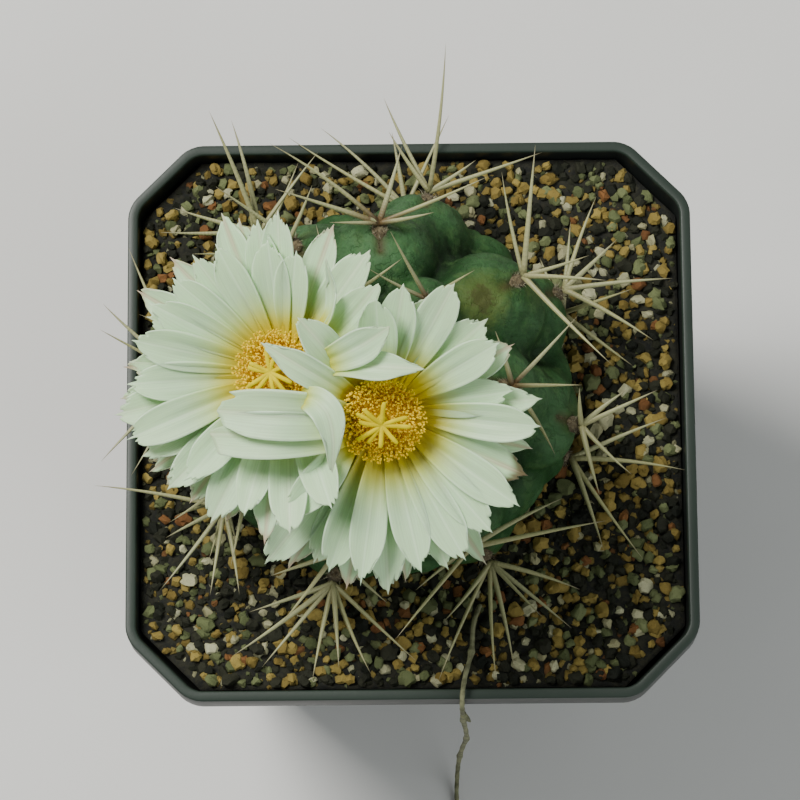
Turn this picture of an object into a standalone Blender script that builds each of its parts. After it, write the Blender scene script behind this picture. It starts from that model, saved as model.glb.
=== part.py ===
"""A thelocactus in flower, in a square black plastic pot with cut corners.

The origin is the middle of the pot's base, on the surface that it stands on. +Z is up, +X is right and
-Y is the front, where the dry stem hangs over the rim. Lengths are in millimetres until a mesh is made.
"""
import math
import random

import bmesh
import bpy
from mathutils import Matrix, Vector
from mathutils.bvhtree import BVHTree

MM = 0.001
GAP = 0.35

# pot
POT_HALF = 55.0
POT_HEIGHT = 92.0
POT_CUT = 12.2
POT_BASE_HALF = 39.0
RIM_WIDTH = 2.0
LIP_DEPTH = 7.5
LIP_STEP = 1.3
WALL = 1.4
FLOOR = 2.2
CORNER_ROUND = 2.4
LIP_BEVEL = 0.55
BASE_BEVEL = 1.0
CUT_INSET = 2 - math.sqrt(2)
DRAIN_RADIUS = 4.0
DRAIN_SIDES = 12
DRAIN_PLACE = 17.0
CHANNEL_WIDTH = 5.0
CHANNEL_DEPTH = 0.8

# grit
GRIT_TOP = 88.4
GRAIN_PITCH = 6.6
GRAIN_HIGH = 1.7
GRAIN_LOW = -1.0
GRAIN_JITTER = 1.0

# cactus body
BODY_MIDDLE = Vector((-4.5, 4.5, 97.0))
BODY_OUT = 32.0
BODY_UP = 27.0
BODY_DOWN = 13.0
TUBERCLE_HEIGHT = 6.0
TUBERCLE_CHIN = 3.0
TUBERCLE_RADIUS = 19.5
TUBERCLE_ROUND = 2.2
GROOVE_DEPTH = 0.25
GROWN_POLAR = 44.0
YOUNG_START = 8.0
BODY_SIDES = 56
BODY_RINGS = 20
SOIL_POLAR = 127.0
FADE_POLAR = 116.0
ROOT_PROFILE = ((25.5, 84.0), (17.0, 75.0), (9.0, 64.0))
ROOT_TIP = 54.0

# Each rib's tubercles as (bearing from +X, angle down from the crown), from the crown to the grit.
RIBS = (
    ((92, 43), (77, 77), (84, 106)),
    ((52, 21), (33, 53), (28, 83), (25, 106)),
    ((-13, 39), (-14, 77), (-20, 106)),
    ((-62, 41), (-65, 70), (-60, 98)),
    ((-104, 36), (-106, 67), (-106, 98)),
    ((-150, 23), (-143, 54), (-143, 85), (-147, 106)),
    ((178, 47), (178, 78), (174, 105)),
    ((135, 21), (126, 51), (129, 79), (131, 105)),
)

# spines
CUSHION_LENGTH = 5.0
CUSHION_WIDTH = 3.8
CUSHION_HEIGHT = 1.7
SPINE_RADIUS = 0.68
SPINE_CLEARANCE = 0.42
SPINE_BOW = 0.02
CUSHION_SIDES = 8
# The cushion's rings as (share of its width, share of its height), from its foot up.
CUSHION_PROFILE = ((0.82, 0.0), (1.0, 0.45), (0.62, 0.92))
# What a spine that would touch something tries in turn: shorter, steeper, then turned aside.
TRY_LENGTHS = (1.0, 0.85, 0.7, 0.5, 0.35)
TRY_LIFTS = (0, 6, 12, 18, 26, 34, -8, -16)
TRY_TURNS = (0, 7, -7, 14, -14)

# The spines that show, by (rib, tier): (bearing from +X, lift above level, length).
SEEN_SPINES = {
    (0, 0): ((148, 25, 26), (166, 20, 21), (185, 22, 10), (72, 18, 15), (18, 20, 23), (2, 30, 12)),
    (0, 1): ((82, 35, 30), (116, 12, 20), (126, 22, 14), (30, 18, 11), (17, 8, 23)),
    (0, 2): ((64, 10, 20), (136, 4, 23), (148, 2, 27), (100, 15, 15)),
    (1, 0): ((124, 45, 17), (160, 35, 14), (20, 45, 13)),
    (1, 1): ((102, 20, 20), (84, 25, 25), (16, 5, 13), (-14, 35, 19), (-49, 12, 25)),
    (1, 2): ((70, 10, 19), (42, 10, 14), (3, 10, 21), (-32, 4, 20)),
    (2, 0): ((44, 20, 18), (-8, 32, 15), (-62, 18, 17), (110, 40, 12)),
    (2, 1): ((35, 20, 11), (22, 15, 16), (-48, 12, 14), (-78, 14, 15), (95, 50, 9)),
    (2, 2): ((22, 5, 20), (-7, 2, 22), (-56, 0, 24), (-72, 0, 19)),
    (3, 1): ((25, 18, 20), (9, 10, 26), (-127, 22, 25), (-140, 16, 14)),
    (3, 2): (
        (-128, 5, 15), (-88, 6, 23), (-78, 0, 21), (-49, 12, 15), (-18, 2, 18), (-40, 0, 20), (-114, 0, 25),
    ),
    (4, 2): (
        (-160, 8, 17), (-143, 8, 24), (-130, 2, 21), (-102, 2, 19), (-86, 18, 18), (-68, 4, 19), (-44, 2, 22),
    ),
    (5, 2): ((-98, 12, 18), (-80, 12, 18), (-127, 4, 20), (-150, 14, 13), (171, 8, 25)),
    (6, 1): ((139, 8, 21), (154, 20, 19), (114, 8, 27), (-134, 2, 23), (-118, 2, 22)),
    (7, 1): ((62, 38, 12), (150, 30, 18), (200, 22, 16)),
    (7, 2): ((114, 32, 26), (104, 14, 22), (182, 8, 19), (52, 12, 19), (164, 2, 17)),
}
RING_SPINES = 5
RING_LIFT = 24.0
RING_LENGTHS = (13.0, 20.0)
SPINE_SEED = 11

# flowers
FLOWERS = {
    "right": {
        "throat": Vector((-4.9, -9.6, 139.6)), "lean": (0.0, 28.0), "root": Vector((-4.6, 2.0, 118.0)),
    },
    "left": {
        "throat": Vector((-23.2, -0.6, 134.9)), "lean": (16.0, 12.0), "root": Vector((-9.0, 6.0, 117.0)),
    },
}
CUP_RADIUS = 6.6
CUP_DEPTH = 7.0
CUP_LIP = 0.9
CUP_WALL = 1.4
PETAL_SEAT = 2.2
TUBE_RADIUS = 3.4
PETAL_LENGTH = 30.0
PETAL_WIDTH = 7.8
PETAL_THICK = 1.0
PETAL_CHANNEL = 0.9
PETAL_STATIONS = (0.0, 0.36, 0.66, 0.87)
# Each whorl as (rise from the face plane, length share, width share, drop at the tip).
WHORLS = {"inner": (23.0, 0.97, 0.92, 1.6), "middle": (13.5, 1.0, 1.0, 1.4), "outer": (4.0, 0.9, 0.78, 1.0)}
# The open fan of each flower, from its first petal round to its last, counter-clockwise.
FANS = {
    "right": {"inner": (-112, 68, 9), "middle": (-126, 84, 11), "outer": (-112, 80, 8)},
    "left": {"inner": (62, 278, 10), "middle": (50, 288, 11), "outer": (70, 255, 8)},
}
# Petals of the crowded side, as (middle of the blade, tip, width), which cross over the other flower.
FOLDED = {
    "right": (
        ((-17.5, -3.5, 150.5), (-28.3, 3.2, 151.5), 6.4),
        ((-17.0, 0.4, 153.5), (-20.6, 8.0, 158.0), 6.4),
        ((-19.5, -9.0, 146.0), (-36.0, -9.5, 141.5), 8.2),
        ((-19.5, -14.5, 143.5), (-37.0, -15.0, 137.6), 8.0),
        ((-13.5, -17.0, 136.8), (-20.0, -23.5, 133.2), 7.6),
    ),
    "left": (
        ((-11.4, 4.6, 147.2), (1.2, -1.2, 155.2), 6.2),
        ((-11.8, 7.4, 149.5), (-3.5, 6.0, 159.5), 6.6),
    ),
}
THREE_CORNERS = [Vector((math.cos(math.tau * k / 3), math.sin(math.tau * k / 3), 0)) for k in range(3)]
STAMEN_RINGS = ((2.5, 7), (3.8, 11), (5.0, 15))
STAMEN_LENGTH = 3.6
STAMEN_RADIUS = 0.26
ANTHER_RADIUS = 0.5
STAMEN_CORE = 1.5
STYLE_RADIUS = 0.95
STYLE_HEIGHT = 7.2
STIGMA_LOBES = 10
STIGMA_LENGTH = 4.9

# dry stem
STEM_RADIUS = 0.6
STEM_SIDES = 6
STEM_ROUTE = (
    (13.0, -36.5, 83.0), (13.0, -36.5, 88.0), (12.6, -37.5, 91.0), (11.6, -41.0, 92.6), (11.2, -46.0, 92.8),
    (10.0, -50.5, 93.6), (9.4, -54.0, 93.8), (9.3, -56.4, 92.6), (9.4, -57.0, 88.5), (9.6, -57.2, 78.0),
    (10.2, -57.4, 64.0), (10.4, -57.2, 50.0), (9.8, -57.0, 36.0), (9.2, -57.3, 22.0), (8.9, -58.1, 10.0),
    (8.7, -60.0, 3.4), (8.6, -63.4, 1.0), (9.0, -68.0, 0.8), (9.9, -73.0, 0.8),
)
STEM_NODES = (4, 9, 11, 13)
STEM_BUD = ((9.5, -57.2, 86.6), (11.0, -58.4, 84.2))


def clear_scene():
    """Removes whatever the scene holds."""
    for old in list(bpy.data.objects):
        bpy.data.objects.remove(old, do_unlink=True)


def material(name, colour, roughness):
    """A plain finish."""
    finish = bpy.data.materials.new(name)
    finish.use_nodes = True
    shader = finish.node_tree.nodes["Principled BSDF"]
    shader.inputs["Base Color"].default_value = (*colour, 1.0)
    shader.inputs["Roughness"].default_value = roughness
    shader.inputs["Metallic"].default_value = 0.0
    finish.diffuse_color = (*colour, 1.0)
    return finish


def add_mesh(name, points, faces, finish=None):
    """An object from points in millimetres, with its faces turned outwards."""
    mesh = bpy.data.meshes.new(name)
    mesh.from_pydata([tuple(c * MM for c in p) for p in points], [], faces)
    if finish:
        mesh.materials.append(finish)
    shape = bmesh.new()
    shape.from_mesh(mesh)
    bmesh.ops.recalc_face_normals(shape, faces=shape.faces)
    shape.to_mesh(mesh)
    shape.free()
    thing = bpy.data.objects.new(name, mesh)
    bpy.context.collection.objects.link(thing)
    return thing


def apply_modifiers(thing):
    """Gives the object the mesh that its modifiers make."""
    graph = bpy.context.evaluated_depsgraph_get()
    made = bpy.data.meshes.new_from_object(thing.evaluated_get(graph))
    old = thing.data
    thing.modifiers.clear()
    thing.data = made
    bpy.data.meshes.remove(old)


def fuse(parts):
    """Joins shapes that grow together into the first of them."""
    whole = parts[0]
    group = bpy.data.collections.new(whole.name + "-parts")
    for part in parts[1:]:
        group.objects.link(part)
    join = whole.modifiers.new("join", "BOOLEAN")
    join.operation = "UNION"
    join.solver = "EXACT"
    join.operand_type = "COLLECTION"
    join.collection = group
    apply_modifiers(whole)
    for part in parts[1:]:
        bpy.data.objects.remove(part, do_unlink=True)
    bpy.data.collections.remove(group)
    return whole


def carve(thing, cutters, operation="DIFFERENCE"):
    """Cuts the object with each cutter in turn and removes the cutters."""
    for cutter in cutters:
        cut = thing.modifiers.new("cut", "BOOLEAN")
        cut.operation = operation
        cut.solver = "EXACT"
        cut.object = cutter
        apply_modifiers(thing)
        bpy.data.objects.remove(cutter, do_unlink=True)
    return thing


def skin(rings, first_cap=True, last_cap=True):
    """Faces that join rings of equal length, with a flat cap at either end."""
    count = len(rings[0])
    points = [p for ring in rings for p in ring]
    faces = []
    for ring in range(len(rings) - 1):
        low, high = ring * count, (ring + 1) * count
        for k in range(count):
            after = (k + 1) % count
            faces.append((low + k, low + after, high + after, high + k))
    if first_cap:
        faces.append(tuple(reversed(range(count))))
    if last_cap:
        faces.append(tuple(range(len(points) - count, len(points))))
    return points, faces


def turned(profile, sides, middle=Vector((0, 0, 0)), turn=None):
    """Rings of a round shape from (radius, height) pairs."""
    turn = turn or Matrix.Identity(3)
    rings = []
    for radius, height in profile:
        ring = []
        for k in range(sides):
            angle = math.tau * k / sides
            ring.append(middle + turn @ Vector((radius * math.cos(angle), radius * math.sin(angle), height)))
        rings.append(ring)
    return rings


def cut_square(half, cut, height):
    """A square with its corners cut and each of its eight points rounded."""
    ends = []
    near = half - cut
    for sx, sy in ((1, 1), (-1, 1), (-1, -1), (1, -1)):
        pair = [Vector((sx * half, sy * near, height)), Vector((sx * near, sy * half, height))]
        ends += pair if sx * sy > 0 else pair[::-1]
    ring = []
    for k, point in enumerate(ends):
        back = (ends[k - 1] - point).normalized() * CORNER_ROUND
        on = (ends[(k + 1) % 8] - point).normalized() * CORNER_ROUND
        ring += [point + back, point + (back + on) * 0.25, point + on]
    return ring


def pot_half(height):
    """Half the width of the pot's outer wall below the lip."""
    top = POT_HALF - LIP_STEP
    return POT_BASE_HALF + (top - POT_BASE_HALF) * height / (POT_HEIGHT - LIP_DEPTH)


def pot_inside(height):
    """Half the width of the space inside the pot."""
    lip_foot = POT_HEIGHT - LIP_DEPTH
    if height <= lip_foot:
        return pot_half(height) - WALL
    share = (height - lip_foot) / LIP_DEPTH
    return (pot_half(lip_foot) - WALL) * (1 - share) + (POT_HALF - RIM_WIDTH) * share


def pot_ring(half, height, inset=0.0):
    """A ring of the pot, whose cut corners keep the wall's thickness."""
    return cut_square(half, POT_CUT * half / POT_HALF - CUT_INSET * inset, height)


def make_pot():
    """The moulded pot, with its turned-out lip and drained floor."""
    lip_foot = POT_HEIGHT - LIP_DEPTH
    rings = [
        pot_ring(POT_BASE_HALF - BASE_BEVEL, 0.0),
        pot_ring(POT_BASE_HALF, BASE_BEVEL),
        pot_ring(pot_half(lip_foot), lip_foot),
        pot_ring(POT_HALF - LIP_BEVEL, lip_foot),
        pot_ring(POT_HALF, lip_foot + LIP_BEVEL),
        pot_ring(POT_HALF, POT_HEIGHT - LIP_BEVEL),
        pot_ring(POT_HALF - LIP_BEVEL, POT_HEIGHT),
        pot_ring(POT_HALF - RIM_WIDTH + LIP_BEVEL, POT_HEIGHT, RIM_WIDTH),
        pot_ring(pot_inside(POT_HEIGHT - LIP_BEVEL), POT_HEIGHT - LIP_BEVEL, WALL),
        pot_ring(pot_inside(lip_foot), lip_foot, WALL),
        pot_ring(pot_inside(FLOOR), FLOOR, WALL),
    ]
    pot = add_mesh("pot", *skin(rings), material("black plastic", (0.02, 0.024, 0.022), 0.45))
    cutters = []
    below, outside = -FLOOR, 2 * POT_BASE_HALF
    for k in range(4):
        angle = math.radians(45 + 90 * k)
        reach = Vector((math.cos(angle), math.sin(angle), 0))
        profile = ((DRAIN_RADIUS, FLOOR - below), (DRAIN_RADIUS, below))
        cutters.append(add_mesh("drain", *skin(turned(profile, DRAIN_SIDES, reach * DRAIN_PLACE))))
        side = reach.cross(Vector((0, 0, 1))) * CHANNEL_WIDTH / 2
        near, far = reach * DRAIN_PLACE, reach * outside
        square = [near + side, near - side, far - side, far + side]
        rings = [[p + Vector((0, 0, height)) for p in square] for height in (below, CHANNEL_DEPTH)]
        cutters.append(add_mesh("channel", *skin(rings)))
    return carve(pot, cutters)


def tubercles():
    """Every tubercle as (rib, tier, bearing, polar angle, radius in degrees, height share)."""
    rows = []
    for rib, line in enumerate(RIBS):
        for tier, (bearing, polar) in enumerate(line):
            grown = min(1.0, (polar + YOUNG_START) / (GROWN_POLAR + YOUNG_START))
            rows.append((rib, tier, bearing, polar, TUBERCLE_RADIUS * grown ** 0.7, grown ** 0.6))
    return rows


def aim(bearing, polar):
    """The direction at a bearing and an angle down from the crown."""
    b, p = math.radians(bearing), math.radians(polar)
    return Vector((math.sin(p) * math.cos(b), math.sin(p) * math.sin(b), math.cos(p)))


def relief(towards, polar, knobs):
    """How far the tubercles stand out of the body in a direction."""
    best = -GROOVE_DEPTH
    for direction, radius, height in knobs:
        away = math.degrees(direction.angle(towards)) / radius
        best = max(best, height * (1 - away ** TUBERCLE_ROUND))
    fade = min(1.0, max(0.0, (SOIL_POLAR - polar) / (SOIL_POLAR - FADE_POLAR)))
    return TUBERCLE_HEIGHT * best * fade


def body_point(bearing, polar, knobs, extra=0.0):
    """A point of the body's skin."""
    towards = aim(bearing, polar)
    out = relief(towards, polar, knobs) + extra
    high = BODY_UP if towards.z > 0 else BODY_DOWN
    return BODY_MIDDLE + Vector((
        towards.x * (BODY_OUT + out), towards.y * (BODY_OUT + out), towards.z * (high + out)))


def tubercle_knobs():
    """Each tubercle's bulge: its direction, its radius in degrees and its height share."""
    return [(aim(b, p + TUBERCLE_CHIN * high), wide, high) for _, _, b, p, wide, high in tubercles()]


def body_shape(name, finish=None, extra=0.0):
    """The body and its root stock as one closed skin, grown outwards by extra."""
    knobs = tubercle_knobs()
    rings = []
    for k in range(1, BODY_RINGS + 1):
        polar = SOIL_POLAR * k / BODY_RINGS
        rings.append([body_point(360 * s / BODY_SIDES, polar, knobs, extra) for s in range(BODY_SIDES)])
    middle = Vector((BODY_MIDDLE.x, BODY_MIDDLE.y, 0))
    rings += turned([(radius + extra, height) for radius, height in ROOT_PROFILE], BODY_SIDES, middle)
    points, faces = skin(rings, False, False)
    crown, tip = len(points), len(points) + 1
    points += [body_point(0, 0, knobs, extra), middle + Vector((0, 0, ROOT_TIP - extra))]
    last = (len(rings) - 1) * BODY_SIDES
    for s in range(BODY_SIDES):
        after = (s + 1) % BODY_SIDES
        faces += [(crown, s, after), (tip, last + after, last + s)]
    return add_mesh(name, points, faces, finish)


def make_body():
    """The tubercled cactus body."""
    body = body_shape("cactus-body", material("dull blue-green skin", (0.115, 0.235, 0.135), 0.55))
    body.data.shade_smooth()
    return body


def grain_height(i, j):
    """The height of a lattice point of the grit: high at a grain's middle, low at its corners."""
    draw = random.Random(1000 * i + j)
    if (i - j) % 3 == 0:
        return GRIT_TOP + draw.uniform(0.2, 1.0) * GRAIN_HIGH
    return GRIT_TOP + draw.uniform(0.3, 1.0) * GRAIN_LOW


def grit_relief():
    """A block whose top is covered with grains."""
    step = GRAIN_PITCH / math.sqrt(3)
    rows = range(-math.ceil(POT_HALF / (step * 0.866)), math.ceil(POT_HALF / (step * 0.866)) + 1)
    columns = range(-math.ceil(POT_HALF / step) - 1, math.ceil(POT_HALF / step) + 2)
    number = {}
    points = []
    for j in rows:
        for c in columns:
            i = c - j // 2
            draw = random.Random(7000 + 1000 * i + j)
            x = step * (i + j / 2) + draw.uniform(-1, 1) * GRAIN_JITTER
            y = step * 0.866 * j + draw.uniform(-1, 1) * GRAIN_JITTER
            number[i, j] = len(points)
            points.append(Vector((x, y, grain_height(i, j))))
    faces = []
    for (i, j), a in number.items():
        right, up, left = number.get((i + 1, j)), number.get((i, j + 1)), number.get((i - 1, j + 1))
        if right is not None and up is not None:
            faces.append((a, right, up))
        if up is not None and left is not None:
            faces.append((a, up, left))
    block = add_mesh("relief", points, faces)
    shape = bmesh.new()
    shape.from_mesh(block.data)
    edge = [e for e in shape.edges if e.is_boundary]
    walls = bmesh.ops.extrude_edge_only(shape, edges=edge)["geom"]
    for part in walls:
        if isinstance(part, bmesh.types.BMVert):
            part.co.z = -0.02
    bmesh.ops.holes_fill(shape, edges=[e for e in shape.edges if e.is_boundary])
    bmesh.ops.recalc_face_normals(shape, faces=shape.faces)
    shape.to_mesh(block.data)
    shape.free()
    return block


def make_grit():
    """The grit that fills the pot, with its grains on top and holes for the root stock and the dry stem."""
    heights = (FLOOR + GAP, POT_HEIGHT - LIP_DEPTH, POT_HEIGHT)
    rings = [pot_ring(pot_inside(height) - GAP - 0.1, height, WALL + GAP) for height in heights]
    bed = add_mesh("grit-bed", *skin(rings), material("potting grit", (0.22, 0.17, 0.09), 0.9))
    carve(bed, [grit_relief()], "INTERSECT")
    foot = Vector(STEM_ROUTE[0])
    profile = ((STEM_RADIUS + GAP + 0.05, 10.0), (STEM_RADIUS + GAP + 0.05, -GAP))
    return carve(bed, [body_shape("pit", extra=GAP), add_mesh("stem hole", *skin(turned(profile, 8, foot)))])


def blade(name, line, sides, widths, finish=None):
    """A petal: a thin keeled blade along a line of points, closed at a pointed tip."""
    rings = []
    for k, wide in enumerate(widths):
        along = (line[k + 1] - line[max(k - 1, 0)]).normalized()
        side = (sides[k] - along * sides[k].dot(along)).normalized()
        above = side.cross(along)
        lift = above * PETAL_CHANNEL * wide / PETAL_WIDTH
        left, right = line[k] - side * wide / 2 + lift, line[k] + side * wide / 2 + lift
        rings.append([left, line[k] - above * PETAL_THICK / 2, right, line[k] + above * PETAL_THICK / 2])
    points, faces = skin(rings, True, False)
    tip = len(points)
    points.append(line[-1])
    last = tip - 4
    for k in range(4):
        faces.append((last + k, last + (k + 1) % 4, tip))
    return add_mesh(name, points, faces, finish)


def petal_share(s):
    """The width of a petal along its length, as a share of its widest."""
    if s < 0.7:
        return 0.42 + 0.58 * (s / 0.7) ** 1.3
    return 1 - ((s - 0.7) / 0.3) ** 2.2


def flower_frame(side):
    """The flower's throat and its axes: two across its face and one out of it."""
    left, front = FLOWERS[side]["lean"]
    out = Vector((-math.tan(math.radians(left)), -math.tan(math.radians(front)), 1)).normalized()
    across = (Vector((1, 0, 0)) - out * out.x).normalized()
    return FLOWERS[side]["throat"], across, out.cross(across), out


def open_petal(side, whorl, bearing, draw):
    """One petal of the open fan."""
    throat, across, up, out = flower_frame(side)
    rise, long, wide, drop = WHORLS[whorl]
    rise = math.radians(rise + draw.uniform(-2, 2) + fan_tilt(side, bearing))
    length = PETAL_LENGTH * long * draw.uniform(0.96, 1.03)
    angle = math.radians(bearing + draw.uniform(-2, 2))
    reach = across * math.cos(angle) + up * math.sin(angle)
    roll = math.radians(draw.uniform(4, 12))
    sides = []
    line = []
    for s in (*PETAL_STATIONS, 1.0):
        far = CUP_RADIUS - PETAL_SEAT + (length - CUP_RADIUS + PETAL_SEAT) * s
        high = (far - CUP_RADIUS) * math.tan(rise) - CUP_LIP - drop * s * s
        line.append(throat + reach * far * math.cos(rise * 0.35) + out * high)
        sides.append((reach.cross(out) * math.cos(roll) + out * math.sin(roll)))
    widths = [PETAL_WIDTH * wide * petal_share(s) for s in PETAL_STATIONS]
    return blade("petal", line, sides, widths)


def fan_tilt(side, bearing):
    """How much the petals that lie on or under the other flower's are raised or lowered, in degrees."""
    if side == "right" and bearing < -104:
        return -10.0
    if side == "left" and bearing > 262:
        return 9.0
    return 0.0


def folded_petal(side, middle, tip, wide):
    """One petal of the crowded side: out of the cup, up over the saddle and across the other flower."""
    throat, _, _, out = flower_frame(side)
    middle, tip = Vector(middle), Vector(tip)
    flat = middle - throat
    flat -= out * flat.dot(out)
    root = throat + flat.normalized() * (CUP_RADIUS - CUP_WALL) - out * 2 * CUP_LIP
    rise = root + flat.normalized() * 3.5 + (middle - root) * 0.22
    line = []
    sides = []
    for s in (*PETAL_STATIONS, 1.0):
        first, second, third = root.lerp(rise, s), rise.lerp(middle, s), middle.lerp(tip, s)
        bend = first.lerp(second, s).lerp(second.lerp(third, s), s)
        line.append(bend)
        sides.append((tip - root).cross(Vector((0, 0, 1))))
    widths = [wide * petal_share(s) for s in PETAL_STATIONS]
    return blade("petal", line, sides, widths)


def make_petals(side, finish):
    """The white petals of one flower with the cup and tube that they grow from."""
    throat, _, _, out = flower_frame(side)
    turn = out.to_track_quat("Z", "Y").to_matrix()
    root = FLOWERS[side]["root"]
    name = side + "-bloom-petals"
    cup = [
        (TUBE_RADIUS, -CUP_DEPTH), (CUP_RADIUS * 0.8, -CUP_DEPTH * 0.55), (CUP_RADIUS, -CUP_LIP),
        (CUP_RADIUS * 0.9, 0),
    ]
    rings = turned(cup, 16, throat, turn)
    along = (throat - out * CUP_DEPTH - root).normalized()
    tube = turned([(TUBE_RADIUS * 0.85, 0.0)], 16, root, along.to_track_quat("Z", "Y").to_matrix())
    whole = [add_mesh(name, *skin(tube + rings), finish)]
    draw = random.Random(name)
    for whorl, (first, last, count) in FANS[side].items():
        for k in range(count):
            bearing = first + (last - first) * k / (count - 1)
            whole.append(open_petal(side, whorl, bearing, draw))
    whole += [folded_petal(side, *row) for row in FOLDED[side]]
    bloom = fuse(whole)
    return carve(bloom, [body_shape("crown", extra=GAP)])


def needle(root, tip, radius, bow=0.0, name="needle"):
    """A three-sided tapered needle, bent a little at its middle."""
    along = (tip - root).normalized()
    side = along.orthogonal().normalized()
    across = along.cross(side)
    middle = root.lerp(tip, 0.5) + Vector((0, 0, bow))
    rings = []
    for point, wide in ((root, radius), (middle, radius * 0.72)):
        ring = []
        for k in range(3):
            angle = math.tau * k / 3
            ring.append(point + (side * math.cos(angle) + across * math.sin(angle)) * wide)
        rings.append(ring)
    points, faces = skin(rings, True, False)
    points.append(tip)
    faces += [(3, 4, 6), (4, 5, 6), (5, 3, 6)]
    return name, points, faces


def make_stamens(side, finish):
    """The dense disc of stamens round the style."""
    throat, across, up, out = flower_frame(side)
    turn = Matrix((across, up, out)).transposed()
    hole = STYLE_RADIUS + GAP
    rim = CUP_RADIUS * 0.86
    profile = (
        (hole, GAP), (hole, STAMEN_CORE), (rim * 0.72, STAMEN_CORE * 0.9), (rim, GAP + 0.5), (rim * 0.96, GAP),
    )
    rings = turned(profile, 16, throat, turn)
    points, faces = skin(rings + rings[:1], False, False)
    core = add_mesh(side + "-bloom-stamens", points, faces, finish)
    shape = bmesh.new()
    shape.from_mesh(core.data)
    bmesh.ops.remove_doubles(shape, verts=shape.verts, dist=0.00001)
    bmesh.ops.recalc_face_normals(shape, faces=shape.faces)
    shape.to_mesh(core.data)
    shape.free()
    whole = [core]
    draw = random.Random(core.name)
    for ring, (far, count) in enumerate(STAMEN_RINGS):
        for k in range(count):
            angle = math.tau * (k + 0.5 * ring) / count + draw.uniform(-0.08, 0.08)
            splay = 0.12 + 0.42 * (far / rim) ** 2
            heads = (
                (far, 0.7, STAMEN_RADIUS), (far, STAMEN_LENGTH - 0.9, STAMEN_RADIUS),
                (far, STAMEN_LENGTH - 0.3, ANTHER_RADIUS), (far, STAMEN_LENGTH + draw.uniform(0, 0.5), 0.22),
            )
            rings = []
            for place, height, wide in heads:
                spread = place + splay * (height - 0.7)
                foot = Vector((spread * math.cos(angle), spread * math.sin(angle), height))
                rings.append([throat + turn @ (foot + corner * wide) for corner in THREE_CORNERS])
            whole.append(add_mesh("stamen", *skin(rings)))
    return fuse(whole)


def make_style(side, finish):
    """The style and the star of stigma lobes on top of it."""
    throat, across, up, out = flower_frame(side)
    turn = Matrix((across, up, out)).transposed()
    profile = (
        (STYLE_RADIUS, GAP), (STYLE_RADIUS * 0.9, STYLE_HEIGHT - 1.2), (STYLE_RADIUS * 1.25, STYLE_HEIGHT - 0.2),
        (STYLE_RADIUS * 0.8, STYLE_HEIGHT + 0.3),
    )
    whole = [add_mesh(side + "-bloom-style", *skin(turned(profile, 10, throat, turn)), finish)]
    draw = random.Random(whole[0].name)
    for k in range(STIGMA_LOBES):
        angle = math.tau * k / STIGMA_LOBES + draw.uniform(-0.12, 0.12)
        reach = Vector((math.cos(angle), math.sin(angle), 0))
        across_lobe = Vector((-reach.y, reach.x, 0))
        length = STIGMA_LENGTH * draw.uniform(0.86, 1.04)
        rings = []
        for share, wide in ((0.05, 0.4), (0.55, 0.42), (1.0, 0.3)):
            height = STYLE_HEIGHT - 0.35 + 1.1 * share - 0.9 * share * share
            middle = reach * length * share + Vector((0, 0, height))
            square = [across_lobe * wide, Vector((0, 0, wide)), -across_lobe * wide, Vector((0, 0, -wide))]
            rings.append([throat + turn @ (middle + corner) for corner in square])
        whole.append(add_mesh("lobe", *skin(rings)))
    return fuse(whole)


def make_stem():
    """The dry stem, from its hole in the grit over the rim and down outside the pot."""
    route = [Vector(p) for p in STEM_ROUTE]
    rings = []
    for k, point in enumerate(route):
        along = (route[min(k + 1, len(route) - 1)] - route[max(k - 1, 0)]).normalized()
        side = along.cross(Vector((1, 0, 0))).normalized()
        across = along.cross(side)
        wide = STEM_RADIUS * (1.35 if k in STEM_NODES else 1.0)
        ring = []
        for s in range(STEM_SIDES):
            angle = math.tau * s / STEM_SIDES
            ring.append(point + (side * math.cos(angle) + across * math.sin(angle)) * wide)
        rings.append(ring)
    finish = material("dry stem", (0.30, 0.29, 0.17), 0.8)
    stem = add_mesh("dry-stem", *skin(rings), finish)
    foot, end = (Vector(p) for p in STEM_BUD)
    return fuse([stem, add_mesh(*needle(foot, end, 0.6))])


def tree(thing):
    """A search tree of an object's triangles, in millimetres."""
    mesh = thing.data
    mesh.calc_loop_triangles()
    points = [v.co / MM for v in mesh.vertices]
    return BVHTree.FromPolygons(points, [tuple(t.vertices) for t in mesh.loop_triangles])


def bent_clear(root, direction, length, away, others):
    """The tip of a spine, turned or shortened until it clears everything placed before it."""
    for share in TRY_LENGTHS:
        for lift in TRY_LIFTS:
            for turn in TRY_TURNS:
                tilted = direction.copy()
                axis = direction.cross(away)
                if axis.length > 0.01:
                    tilted.rotate(Matrix.Rotation(math.radians(lift), 3, axis.normalized()))
                tilted.rotate(Matrix.Rotation(math.radians(turn), 3, away))
                start = root + tilted * 0.8
                tip = root + tilted * length * share
                _, points, faces = needle(start, tip + tilted * 0.6, SPINE_RADIUS + SPINE_CLEARANCE)
                probe = BVHTree.FromPolygons(points, faces)
                if not any(probe.overlap(other) for other in others):
                    return tip
    return None


def ring_spines(away, upward, draw):
    """Directions and lengths for an areole that the flowers hide: spines all round, low over the skin."""
    side = away.cross(upward)
    rows = []
    for k in range(RING_SPINES):
        angle = math.tau * (k + 0.5 * draw.random()) / RING_SPINES
        lift = math.radians(RING_LIFT + draw.uniform(-6, 8))
        flat = upward * math.cos(angle) + side * math.sin(angle)
        rows.append((flat * math.cos(lift) + away * math.sin(lift), draw.uniform(*RING_LENGTHS)))
    return rows


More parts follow.
